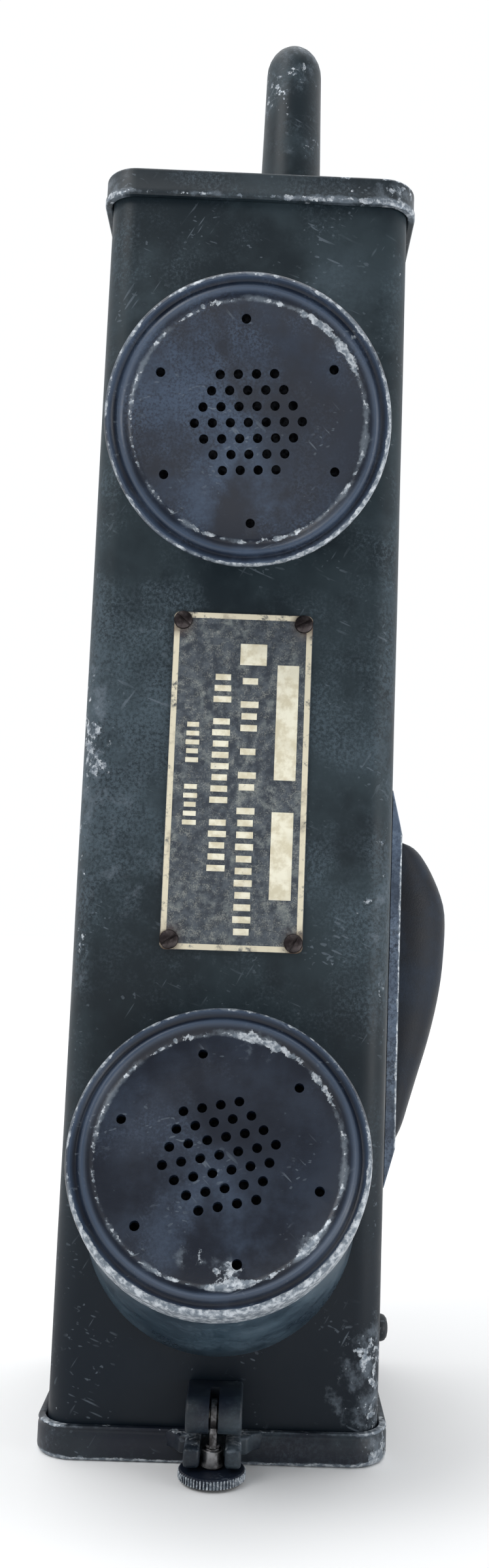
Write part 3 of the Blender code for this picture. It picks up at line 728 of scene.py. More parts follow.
@dataclass(frozen=True)
class OldPaint(Finish):
    """Paint with clouds, dust, scratches and chips down to metal, with painted shade and a painted highlight
    over them.
    """

    name: str
    base: Colour
    dark: Colour
    dusty: Colour
    bare: Colour = srgb(188, 194, 200)
    worn: Colour = srgb(104, 114, 124)
    wear: WearAndLightField = EvenWearAndShade(-0.06)
    haze: WearAndLightField = EvenWearAndShade(0.0)
    # Painted shade: where this field rises, the colour is pulled towards a darker copy of the dark tone.
    shade: WearAndLightField = EvenWearAndShade(0.0)
    # Painted highlight: where this field rises, the colour is pulled towards the dusty tone.
    painted_highlight: WearAndLightField = EvenWearAndShade(0.0)
    scale: float = 38.0
    chip_scale: float = 420.0
    rough: float = 0.45
    bump: float = 0.25
    grain: float = 0.0003
    dust: float = 0.6
    scratch: float = 0.45
    specular: float = 0.4
    metallic: float = 0.35

    def make(self, effects: Effects) -> Material:
        """Build the paint."""
        made, g, shader, place = self.fresh()
        tone, bias = self.tone(g, effects, place), self.wear.bias(g, effects, place)
        size = self.chip_scale
        chips = g.use(effects.chips, Vector=place, Bias=bias, Scale=size, Soft=0.035).outputs[0]
        near = g.math("ADD", bias, 0.07)
        rub = g.use(effects.chips, Vector=place, Bias=near, Scale=0.55 * size, Soft=0.16).outputs[0]
        scratch = g.use(effects.scratches, Vector=place, Scale=2.2 * size).outputs[0]
        more = self.haze.bias(g, effects, place)
        dust = g.use(effects.dust, Vector=place, Scale=1.6 * self.scale, More=more).outputs[0]
        # Darker copy of the dark tone, the colour of the painted shade.
        shade_colour = (0.2 * self.dark[0], 0.4 * self.dark[1], 0.6 * self.dark[2])
        metal = g.mix(g.ramp(g.noise(place, 1.7 * size, 4.0), 0.4, 0.65), self.worn, self.bare)
        layers = (
            (g.math("MULTIPLY", dust, self.dust), self.dusty),
            # Painted shade laid into the colour.
            (g.math("MAXIMUM", self.shade.bias(g, effects, place), 0.0), shade_colour),
            # Painted highlight laid into the colour.
            (g.math("MAXIMUM", self.painted_highlight.bias(g, effects, place), 0.0), self.dusty),
            (g.math("MULTIPLY", rub, 0.62), self.worn),
            (g.math("MULTIPLY", scratch, self.scratch), self.worn),
            (chips, metal),
        )
        colour = tone.outputs["Color"]
        for mask, layer in layers:
            colour = g.mix(mask, colour, layer)
        rough = g.ramp(tone.outputs["Cloud"], 0.3, 0.7, self.rough - 0.06, self.rough + 0.1)
        rough = g.blend(chips, g.math("MULTIPLY_ADD", dust, 0.2 * self.dust, rough), 0.42)
        height = g.math("MULTIPLY", tone.outputs["Height"], 0.6)
        height = g.math("SUBTRACT", height, g.math("MULTIPLY", chips, 0.7))
        g.fill(shader, Base_Color=colour, Roughness=rough, Metallic=g.math("MULTIPLY", chips, self.metallic))
        g.fill(shader, Normal=g.bump(height, self.bump, self.grain), Specular_IOR_Level=self.specular)
        return made


@dataclass(frozen=True)
class WornMetal(Finish):
    """Metal with tarnish, grime and fine marks."""

    name: str
    base: Colour
    dark: Colour
    grime: Colour = srgb(24, 24, 24)
    amount: float = 0.5
    scale: float = 260.0
    rough: float = 0.32
    stretch: tuple[float, float, float] = (1.0, 1.0, 1.0)

    @property
    def dusty(self) -> Colour:
        """Tarnish stands in for dust."""
        return self.dark

    def make(self, effects: Effects) -> Material:
        """Build the metal."""
        made, g, shader, place = self.fresh()
        place = g.vector("MULTIPLY", place, self.stretch)
        tone = self.tone(g, effects, place)
        bias = -0.14 + 0.24 * self.amount
        grime = g.use(effects.chips, Vector=place, Bias=bias, Scale=self.scale * 2.4, Soft=0.2).outputs[0]
        scratch = g.use(effects.scratches, Vector=place, Scale=self.scale * 4.0).outputs[0]
        colour = g.mix(g.math("MULTIPLY", scratch, 0.4), tone.outputs["Color"], self.base)
        colour = g.mix(g.math("MULTIPLY", grime, 0.85), colour, self.grime)
        rough = g.blend(grime, g.ramp(tone.outputs["Cloud"], 0.3, 0.7, self.rough + 0.14, self.rough), 0.75)
        g.fill(shader, Base_Color=colour, Metallic=1.0, Roughness=rough)
        g.fill(shader, Normal=g.bump(tone.outputs["Height"], 0.3, 0.00015))
        return made


@dataclass(frozen=True)
class Moulding(Finish):
    """Rubber, bakelite or waxed card: a cloudy colour with fine texture."""

    name: str
    base: Colour
    dark: Colour
    dusty: Colour
    scale: float = 60.0
    rough: float = 0.6
    grain: float = 0.0002
    dust: float = 0.3
    specular: float = 0.5

    def make(self, effects: Effects) -> Material:
        """Build the moulded finish."""
        made, g, shader, place = self.fresh()
        tone = self.tone(g, effects, place)
        dust = g.use(effects.dust, Vector=place, Scale=self.scale, More=0.0).outputs[0]
        colour = g.mix(g.math("MULTIPLY", dust, self.dust), tone.outputs["Color"], self.dusty)
        rough = g.ramp(tone.outputs["Cloud"], 0.3, 0.7, self.rough - 0.07, self.rough + 0.1)
        height = g.math("ADD", g.noise(place, self.scale * 40.0, 3.0, 0.7), tone.outputs["Height"])
        g.fill(shader, Base_Color=colour, Roughness=rough, Normal=g.bump(height, 0.35, self.grain))
        g.fill(shader, Specular_IOR_Level=self.specular)
        return made


@dataclass(frozen=True)
class PlateEnamel(Finish):
    """Slate enamel with a cream line round its edge, worn and stained."""

    name: str
    half_x: float
    half_y: float
    base: Colour = srgb(70, 78, 86)
    dark: Colour = srgb(40, 48, 58)
    dusty: Colour = srgb(124, 130, 126)
    cream: Colour = srgb(216, 208, 184)
    speck: Colour = srgb(156, 158, 150)
    rust: Colour = srgb(78, 58, 46)
    scale: float = 520.0

    def make(self, effects: Effects) -> Material:
        """Build the enamel; the plate's own X and Y run across it."""
        made, g, shader, place = self.fresh()
        tone = self.tone(g, effects, place)
        across, along = [g.math("ABSOLUTE", axis) for axis in g.split(place)[:2]]
        edge: Amount = 0.0
        for away, half in ((across, self.half_x), (along, self.half_y)):
            band = g.use(effects.band, Value=away, Centre=(half - 0.9) * MM, Width=1.2 * MM).outputs[0]
            edge = g.math("MAXIMUM", edge, g.ramp(band, 0.25, 0.4))
        worn = g.use(effects.chips, Vector=place, Bias=0.3, Scale=500.0, Soft=0.12).outputs[0]
        line = g.math("MULTIPLY", edge, worn)
        speck = g.use(effects.chips, Vector=place, Bias=0.17, Scale=2600.0, Soft=0.16).outputs[0]
        colour = g.mix(g.math("MULTIPLY", speck, 0.5), tone.outputs["Color"], self.speck)
        stain = g.ramp(g.noise(place, 160.0, 4.0), 0.52, 0.68)
        colour = g.mix(line, colour, g.mix(g.math("MULTIPLY", stain, 0.4), self.cream, self.rust))
        side, end = (g.ramp(across, 11.5 * MM, 16.5 * MM), g.ramp(along, 36.0 * MM, 42.0 * MM))
        rust = g.ramp(g.noise(place, 420.0, 4.0), 0.35, 0.55, 0.3, 0.9)
        rust = g.math("MULTIPLY", g.math("MULTIPLY", side, end), rust)
        height = g.math("MULTIPLY_ADD", line, 0.5, tone.outputs["Height"])
        g.fill(shader, Base_Color=g.mix(rust, colour, self.rust), Normal=g.bump(height, 0.35, 0.0002))
        g.fill(shader, Roughness=g.ramp(tone.outputs["Cloud"], 0.3, 0.7, 0.42, 0.62))
        return made


@dataclass(frozen=True)
class FadedStrip(Finish):
    """Cream paint that has rubbed off in places down to slate."""

    name: str
    rubbed: float
    base: Colour = srgb(232, 228, 208)
    dark: Colour = srgb(206, 198, 172)
    dusty: Colour = srgb(180, 172, 148)
    slate: Colour = srgb(66, 75, 84)
    scale: float = 260.0

    def make(self, effects: Effects) -> Material:
        """Build the faded cream."""
        made, g, shader, place = self.fresh()
        tone = self.tone(g, effects, place)
        gone = g.use(effects.chips, Vector=place, Bias=self.rubbed, Scale=700.0, Soft=0.12).outputs[0]
        rough = g.ramp(tone.outputs["Cloud"], 0.3, 0.7, 0.5, 0.7)
        g.fill(shader, Base_Color=g.mix(gone, tone.outputs["Color"], self.slate), Roughness=rough)
        g.fill(shader, Normal=g.bump(tone.outputs["Height"], 0.3, 0.0001))
        return made


@dataclass(frozen=True)
class ValveGlass(Finish):
    """Clear glass with faint smears; the getter's silvering at the top is not drawn."""

    name: str

    def make(self, effects: Effects) -> Material:
        """Build the glass."""
        made, g, shader, place = self.fresh()
        smear = g.noise(place, 300.0, 3.0)
        g.fill(shader, Base_Color=g.mix(smear, srgb(222, 228, 226), srgb(186, 192, 188)), IOR=1.47)
        g.fill(shader, Roughness=g.ramp(smear, 0.35, 0.7, 0.04, 0.14), Transmission_Weight=0.85)
        return made


OLIVE = (srgb(38, 50, 56), srgb(24, 34, 40), srgb(80, 94, 104))
BLACK = (srgb(26, 38, 55), srgb(17, 24, 37), srgb(68, 84, 106))
COVER = (OLIVE[1], BLACK[1], OLIVE[2])
# Painted reflected light: a lighter copy of the black paint for the two housings, standing in for floor light
# on them.
HOUSING_LIT = (srgb(48, 66, 78), srgb(34, 48, 60), srgb(92, 110, 124))
EDGE = (BLACK[2], BLACK[0], srgb(124, 142, 164))


class Finishes:
    """Every material of the radio by name."""

    def __init__(self) -> None:
        """Build the shared groups and then the materials."""
        effects = Effects()
        made = self.outer() + self.caps() + self.small()
        self.by_name = {finish.name: finish.make(effects) for finish in made}

    def __getitem__(self, name: str) -> Material:
        """The material of that name."""
        return self.by_name[name]

    @staticmethod
    def outer() -> list[Finish]:
        """Paints of the case, its lid, its cover and what stands on it."""
        case = {"half_x": 41.5, "half_y": 42.0, "radius": 7.5, "corner": 0.08}
        tray = {"half_x": 43.8, "half_y": 44.3, "radius": 9.8}
        worn = (
            Spot(40, -42, 20, 23, 0.16),
            Spot(41, -40, 128, 34, 0.08),
            Spot(-41, -40, 150, 70, 0.06),
            Spot(-41, -42, 205, 60, 0.05),
            Spot(0, -42, 118, 22, 0.02),
        )
        levels = ((205.0, 34.0, 0.07), (165.0, 52.0, 0.12))
        case_haze = TrayWear(levels=levels, base=-0.04, spots=worn, **case)
        levels = ((6.0, 22.0, 0.03), (158.0, 60.0, 0.03))
        case_wear = TrayWear(levels=levels, spots=worn, **case)
        # Painted shade: the case darkens strongly towards the bottom and slightly towards the top.
        case_shade = LevelWearAndShade(2, ((20.0, 115.0, 1.0), (330.0, 110.0, 0.06)), 0.0)
        levels = ((331.2, 1.7, 0.19), (338.2, 1.0, 0.1), (334.5, 5.0, 0.02))
        worn = (Spot(-43, -44, 333, 14, 0.12), Spot(43, -44, 331, 16, 0.15), Spot(22, -44, 331, 20, 0.09))
        lid_wear = TrayWear(levels=levels, corner=0.06, spots=worn, **tray)
        # Painted shade: the whole lid is darkened evenly.
        lid_shade = EvenWearAndShade(0.2)
        levels = ((0.4, 1.4, 0.34), (8.0, 0.8, 0.16), (4.0, 6.0, 0.02))
        worn = (Spot(42, -44, 4, 20, 0.12), Spot(-42, -44, 2, 14, 0.08), Spot(0.6, -49, 7.6, 11, 0.13))
        cover_wear = TrayWear(levels=levels, corner=0.08, spots=worn, **tray)
        antenna_wear = LevelWearAndShade(2, ((402.0, 10.0, 0.06), (341.0, 4.0, 0.08), (384.0, 30.0, 0.06)), 0.015)
        frame_wear = LevelWearAndShade(0, ((46.5, 1.0, 0.24),), 0.05)
        nut_wear = RimWearAndLight(((8.1, 0.6, 0.45),), base=-0.16, heavy=0.0)
        dim = {"specular": 0.25, "chip_scale": 900.0}
        return [
            OldPaint("case_paint", *OLIVE, wear=case_wear, haze=case_haze, shade=case_shade, specular=0.24),
            OldPaint("lid_paint", *OLIVE, wear=lid_wear, haze=EvenWearAndShade(0.03), shade=lid_shade, specular=0.3),
            # Painted shade: the whole cover is darkened evenly.
            OldPaint("cover_paint", *COVER, wear=cover_wear, dust=0.4, shade=EvenWearAndShade(0.35)),
            # Painted reflected light: the housings' lighter copy of the black paint.
            OldPaint("housing_lit_paint", *HOUSING_LIT, haze=EvenWearAndShade(0.08), rough=0.3, dust=0.5),
            OldPaint("antenna_paint", *OLIVE, wear=antenna_wear, rough=0.42, specular=0.25),
            OldPaint("frame_paint", *EDGE, wear=frame_wear, haze=EvenWearAndShade(0.15)),
            OldPaint("latch_paint", *COVER, wear=EvenWearAndShade(-0.03), chip_scale=700.0, dust=0.3),
            OldPaint("hinge_paint", *COVER, wear=EvenWearAndShade(0.0)),
            OldPaint("nut_paint", BLACK[1], BLACK[1], BLACK[0], wear=nut_wear, **dim),
        ]

    @staticmethod
    def caps() -> list[Finish]:
        """Paints of the two sound caps, worn along their rings, with painted highlight on the crests and
        painted shade in the grooves.
        """
        rings = ((34.1, 1.1, 0.24), (28.5, 1.6, 0.22), (31.0, 2.4, 0.06))
        # Painted highlight along the crest of the bead and of the outer rim.
        crest = ((30.8, 1.3, 0.55), (33.6, 1.0, 0.5))
        # Painted shade in the grooves beside the bead.
        groove = ((32.4, 0.8, 0.3), (29.2, 0.8, 0.3))
        look = {"painted_highlight": RimWearAndLight(crest, base=0.0, heavy=0.0), "scale": 55.0, "rough": 0.36}
        worn = (Spot(4, -4, -2.4, 14, 0.04), Spot(-3, -23, -2.4, 8, 0.1), Spot(20, 22, -1, 14, 0.08))
        ear_wear = RimWearAndLight(rings, heavy_turn=-40.0, heavy=0.1, spots=worn)
        worn = (Spot(-14, 8, -2, 26, 0.16), Spot(14, -16, -2, 16, 0.08))
        ear_haze = RimWearAndLight((), base=0.02, heavy=0.0, spots=worn)
        # Painted shade in the grooves and over the right side of the ear disc.
        ear_shade = RimWearAndLight(groove, base=0.05, heavy=0.0, spots=(Spot(18, -4, -2.4, 24, 0.5),))
        worn = (
            Spot(-5, -22.5, -2.4, 6, 0.23),
            Spot(3, -26, -2.4, 7, 0.24),
            Spot(20, -19, -2.4, 5, 0.21),
            Spot(8, 26, -2, 9, 0.14),
            Spot(0, -12, -2.4, 9, 0.07),
        )
        mouth_wear = RimWearAndLight(rings, heavy_turn=-78.0, heavy=0.32, spots=worn)
        worn = (Spot(-14, 8, -2, 22, 0.12), Spot(-8, -16, -2, 18, 0.12))
        mouth_haze = RimWearAndLight((), base=-0.08, heavy=0.0, spots=worn)
        # Painted shade in the grooves and evenly over the whole mouth cap.
        mouth_shade = RimWearAndLight(groove, base=0.35, heavy=0.0)
        return [
            OldPaint("ear_paint", *BLACK, wear=ear_wear, haze=ear_haze, shade=ear_shade, **look),
            OldPaint("mouth_paint", *BLACK, wear=mouth_wear, haze=mouth_haze, shade=mouth_shade, **look),
        ]

    @staticmethod
    def small() -> list[Finish]:
        """Enamel, bare metals, mouldings and glass."""
        hazy, brown, pale = srgb(40, 54, 72), srgb(92, 78, 66), srgb(176, 156, 120)
        long, wound = {"stretch": (1.0, 1.0, 0.05)}, {"stretch": (0.1, 0.1, 6.0)}
        return [
            PlateEnamel("plate_enamel", 18.45, 44.5),
            FadedStrip("label_cream", 0.0),
            FadedStrip("faded_cream", 0.09),
            WornMetal("screw_steel", srgb(84, 78, 78), srgb(46, 41, 42), amount=0.45, rough=0.42),
            WornMetal("collar_steel", srgb(150, 150, 152), srgb(62, 60, 60)),
            WornMetal("spring_steel", srgb(190, 188, 180), srgb(120, 116, 108), amount=0.2),
            WornMetal("old_brass", srgb(190, 160, 100), srgb(110, 86, 50), amount=0.4),
            WornMetal("antenna_steel", srgb(205, 205, 205), srgb(150, 150, 148), amount=0.1, **long),
            WornMetal("chassis_sheet", srgb(190, 190, 186), srgb(140, 140, 136), amount=0.15, scale=60.0),
            WornMetal("enamelled_wire", srgb(176, 98, 60), srgb(96, 44, 30), amount=0.2, **wound),
            WornMetal("gauze", srgb(40, 42, 46), srgb(18, 19, 22), amount=0.8, scale=900.0, rough=0.6),
            Moulding("boot_rubber", srgb(14, 24, 36), srgb(9, 15, 25), hazy, rough=0.48, specular=0.28),
            Moulding("seal_rubber", srgb(30, 31, 32), srgb(20, 21, 22), srgb(58, 58, 58), rough=0.75),
            Moulding("dark_bakelite", srgb(58, 38, 28), srgb(34, 22, 18), brown, rough=0.4),
            Moulding("waxed_card", srgb(150, 118, 74), srgb(122, 92, 54), pale, scale=90.0, rough=0.7),
            ValveGlass("valve_glass"),
        ]


# Sub-assemblies


@dataclass
class Case:
    """Drawn case with its pressed lid and their corners rounded."""

    width: float = 83.0
    depth: float = 84.0
    radius: float = 7.5
    wall: float = 2.2
    foot: float = 4.5
    top: float = 334.6
    lid_width: float = 87.4
    lid_depth: float = 88.4
    lid_radius: float = 9.5
    lid_foot: float = 330.4
    lid_top: float = 338.5

    def outline(self, inset: float, steps: int = 12) -> Outline:
        """Case outline drawn in by an inset."""
        return rounded(self.width - 2 * inset, self.depth - 2 * inset, self.radius - inset, steps)

    def build(self, finishes: Finishes) -> None:
        """Make the case and the lid."""
        heights = [self.foot + (self.top - self.foot) * k / 22 for k in range(23)]
        rings = [level(self.outline(0), z) for z in heights]
        rings += [level(self.outline(self.wall), z) for z in (self.top, self.foot)]
        shell = dented(skin(rings, Turn.JOINED), 0.12, 45.0, 3.0)
        settle(piece("case", shell, finishes["case_paint"], 60), "case", "olive_paint", "case_shell")
        self.build_lid(finishes)

    def lid_outline(self, inset: float) -> Outline:
        """Lid outline drawn in by an inset."""
        return rounded(self.lid_width - 2 * inset, self.lid_depth - 2 * inset, self.lid_radius - inset, 14)

    def build_lid(self, finishes: Finishes) -> None:
        """Make the lid: a rolled lower edge, a plain band and a rounded shoulder."""
        foot, top, band, shoulder = self.lid_foot, self.lid_top, 0.3, 1.0
        sections = [(1.9, top - 2.4), (1.9, foot + 0.2), (1.6, foot), (0.35, foot), (0.0, foot + 0.5)]
        sections += [(0.0, foot + 1.9), (band, foot + 2.5), (band, top - shoulder)]
        for degrees in (15, 35, 55, 75, 90):
            across, up = polar(shoulder, math.radians(degrees))
            sections.append((band + shoulder - across, top - shoulder + up))
        rings = [level(self.lid_outline(inset), z) for inset, z in sections + [(5.0, top + 0.05)]]
        rings.append(level(rounded(62, 63, 6, 14), top))
        lid = dented(skin(rings), 0.14, 22.0, 8.0)
        made = piece("lid", lid, finishes["lid_paint"], 50)
        carve(made, rod(6.6, Vector((8.2, 0, 330)), Vector((8.2, 0, 345)), 32))
        settle(made, "case", "olive_paint", "top_lid")


@dataclass
class Screw:
    """Slotted cheese-head screw seen from its head."""

    radius: float
    height: float
    slot: float
    shank: float
    length: float

    def build(self, name: str, frame: Matrix, turn: float, finish: Material) -> Object:
        """Make the screw.

        Args:
            name: Its name.
            frame: Frame at the seat of the head, +Z outwards.
            turn: Direction of the slot, in degrees.
            finish: Its material.

        Returns:
            The screw.
        """
        r, h = self.radius, self.height
        profile = [(self.shank, -self.length), (self.shank, 0.0), (r, 0.0), (r, 0.45 * h)]
        profile += [(0.93 * r, 0.72 * h), (0.75 * r, 0.9 * h), (0.4 * r, 0.99 * h), (0.08 * r, h)]
        made = piece(name, lathe(profile, 28), finish)
        framed(made, frame)
        cutter = block((-r - 1, -self.slot / 2, 0.35 * h), (r + 1, self.slot / 2, h + 1))
        carve(made, cutter.moved(pose((0, 0, 0), turn, "Z")), frame)
        return made


@dataclass
class Nameplate:
    """Plate on the front with blank cream panels and four screws."""

    width: float = 36.9
    height: float = 89.0
    middle: float = 168.9
    thick: float = 0.8
    face: float = -42.3
    panels: tuple[tuple[float, float, float, float], ...] = (
        (3.0, 33.4, 7.0, 5.7),
        (12.3, 15.5, 5.7, 30.6),
        (12.1, -19.6, 5.7, 22.8),
    )
    columns: tuple[tuple[float, float, float, float, str], ...] = (
        (-12.2, 15.4, 3.6, 2.55, "11111 011111"),
        (-4.8, 28.6, 4.7, 3.22, "111 11111111 11111"),
        (2.4, 27.8, 4.7, 3.4, "1 111 1 11 11111111111"),
    )

    def frame(self, lift: float = 0.0) -> Matrix:
        """Frame on the plate's face: X to the right, Y up, Z out of the front."""
        return pose((0, self.face - lift, self.middle), 90)

    def strips(self, boxes: tuple[tuple[float, float, float, float], ...]) -> Shape:
        """Thin raised strips from (x, y, width, height) boxes."""
        shape = Shape()
        for x, y, width, height in boxes:
            low = (x - width / 2, y - height / 2, 0.0)
            shape.add(block(low, (x + width / 2, y + height / 2, 0.09), 0.03))
        return shape

    def dashes(self) -> Shape:
        """Columns of blank raised dashes where worn paint remains."""
        boxes = []
        for x, top, width, pitch, marks in self.columns:
            for k, mark in enumerate(marks):
                if mark == "1":
                    length = width * (0.86 + 0.14 * ((k * 7) % 3) / 2)
                    boxes.append((x, top - (k + 0.5) * pitch * 0.92, length, pitch * 0.5))
        return self.strips(tuple(boxes))

    def build(self, finishes: Finishes) -> None:
        """Make the plate, its blank strips and its screws."""
        sections = [(0.0, 0.0), (0.0, self.thick - 0.2), (0.18, self.thick)]
        rings = [level(rounded(self.width - 2 * d, self.height - 2 * d, 1.6 - d, 6), z) for d, z in sections]
        plate = framed(piece("plate", skin(rings), finishes["plate_enamel"]), self.frame())
        settle(plate, "case", "plate_enamel", "nameplate")
        top = self.frame(self.thick)
        panels, dashes = self.strips(self.panels), self.dashes()
        for name, shape, finish in (("panels", panels, "label_cream"), ("dashes", dashes, "faded_cream")):
            made = framed(piece(f"plate_{name}", shape, finishes[finish]), top)
            settle(made, "case", "plate_enamel")
        screw = Screw(radius=2.45, height=1.1, slot=0.6, shank=1.1, length=4.0)
        places = [(x, z) for z in (127.0, 211.0) for x in (-16.0, 16.0)]
        for number, ((x, z), turn) in enumerate(zip(places, (35, 60, -40, 25)), 1):
            seat = pose((x, self.face - self.thick - 0.02, z), 90)
            made = screw.build(f"plate_screw_{number}", seat, turn, finishes["screw_steel"])
            settle(made, "case", "dull_steel", f"nameplate_screw_{number}")


@dataclass
class SoundPiece:
    """Tilted housing with its perforated cap."""

    title: str
    rim_z: float
    reach: float
    tilt: float
    base_z: float
    base_r: float
    turn: float
    cap_r: float = 34.7
    front: float = -42.0
    hole_r: float = 1.16
    pitch: float = 4.35
    rim_holes: float = 24.05

    def frame(self) -> Matrix:
        """Frame at the rim, +Z out of the cap."""
        return pose((0, self.front - self.reach, self.rim_z), 90 + self.tilt)

    def holes(self) -> list[Vector]:
        """Centres of the grille holes and of the six holes round them."""
        centres = []
        for row in range(-3, 4):
            count = 7 - abs(row)
            y = row * self.pitch * math.sqrt(3) / 2
            centres += [((column - (count - 1) / 2) * self.pitch, y) for column in range(count)]
        centres += [polar(self.rim_holes, math.radians(90 + 60 * k)) for k in range(6)]
        spin = pose((0, 0, 0), self.turn, "Z")
        return [spin @ Vector((x, y, 0)) for x, y in centres]

    def build(self, finishes: Finishes) -> None:
        """Make the housing and the cap."""
        frame = self.frame()
        base = pose((0, 0, self.base_z), 90)
        flare = [(self.base_r, -self.front + 0.3), (self.base_r - 0.05, -self.front + 1.2)]
        rings = [[base @ p for p in level(circle(r, 96), z)] for r, z in flare]
        low, high = rings[1], [frame @ p for p in level(circle(32.1, 96), -9.8)]
        rings += [[a.lerp(b, k / 6) for a, b in zip(low, high)] for k in range(1, 7)]
        mouth = ((32.3, -5.2), (29.8, -5.2), (29.4, -12.0))
        rings += [[frame @ p for p in level(circle(r, 96), z)] for r, z in mouth]
        rings.append([base @ p for p in level(circle(self.base_r - 3.0, 96), -self.front + 2.3)])
        # The housing wears the lighter copy of the black paint, a painted reflected light.
        housing = piece(f"{self.title}_housing", skin(rings, Turn.JOINED), finishes["housing_lit_paint"], 50)
        settle(housing, "case", "black_paint", f"{self.title}_housing")
        finish = finishes[f"{self.title}_paint"]
        cap = framed(piece(f"{self.title}_cap", self.cap_shape(), finish, 40), frame)
        drills = Shape()
        for centre in self.holes():
            drills.add(lathe([(self.hole_r, -6.0), (self.hole_r, 0.5)], 14).moved(Matrix.Translation(centre)))
        carve(cap, drills, frame)
        settle(cap, "case", "black_paint", f"{self.title}_cap")

    def cap_shape(self) -> Shape:
        """Turned cap: skirt, bead, groove, crest, ramp and recessed disc."""
        r = self.cap_r
        profile = [(12.0, -4.3), (28.4, -4.3), (32.7, -4.8), (32.7, -9.0), (r - 0.5, -9.0), (r - 0.1, -8.7)]
        profile += [(r, -8.2), (r, -1.9), (r - 0.1, -1.1), (r - 0.35, -0.5), (r - 0.75, -0.15)]
        profile += [(r - 1.2, -0.2), (r - 1.6, -0.7)]
        profile += [(r - 1.95, -1.0), (r - 2.3, -1.15), (r - 2.65, -1.0), (r - 3.0, -0.6), (r - 3.35, -0.2)]
        profile += [(r - 3.8, 0.0), (r - 4.25, -0.15), (r - 4.7, -0.6), (r - 5.3, -1.35), (r - 5.8, -1.9)]
        profile += [(r - 6.3, -2.25), (r - 6.9, -2.4), (20.0, -2.36), (12.0, -2.3)]
        return dented(lathe(profile, 112), 0.16, 16.0, len(self.title) * 1.7)


@dataclass
class AntennaCap:
    """Tapered cap with a domed top over the antenna."""

    x: float = 8.2
    foot: float = 340.2
    tip: float = 406.0

    def build(self, finishes: Finishes) -> None:
        """Make the cap; the neck, seal and sections are dressed with the inside."""
        profile = [(0.3, self.tip - 2.0)]
        for angle in map(math.radians, (75, 50, 25, 0)):
            profile.append((6.9 * math.cos(angle), self.tip - 9.5 + 7.4 * math.sin(angle)))
        profile += [(7.3, 351.5), (8.3, 350.6), (8.3, self.foot), (9.2, self.foot), (9.5, self.foot + 0.4)]
        profile += [(9.5, self.foot + 3.0), (9.2, self.foot + 18.0), (8.8, self.foot + 38.0)]
        for degrees in (0, 12, 24, 36, 48, 60, 72, 84, 89):
            angle = math.radians(degrees)
            profile.append((8.5 * math.cos(angle), self.tip - 9.5 + 9.5 * math.sin(angle)))
        cap = dented(lathe(profile, 64), 0.1, 9.0, 2.0)
        for point in cap.points:
            point.x += self.x
        made = piece("antenna_cap_body", cap, finishes["antenna_paint"], 50)
        settle(made, "cap", "black_paint", "antenna_cap")


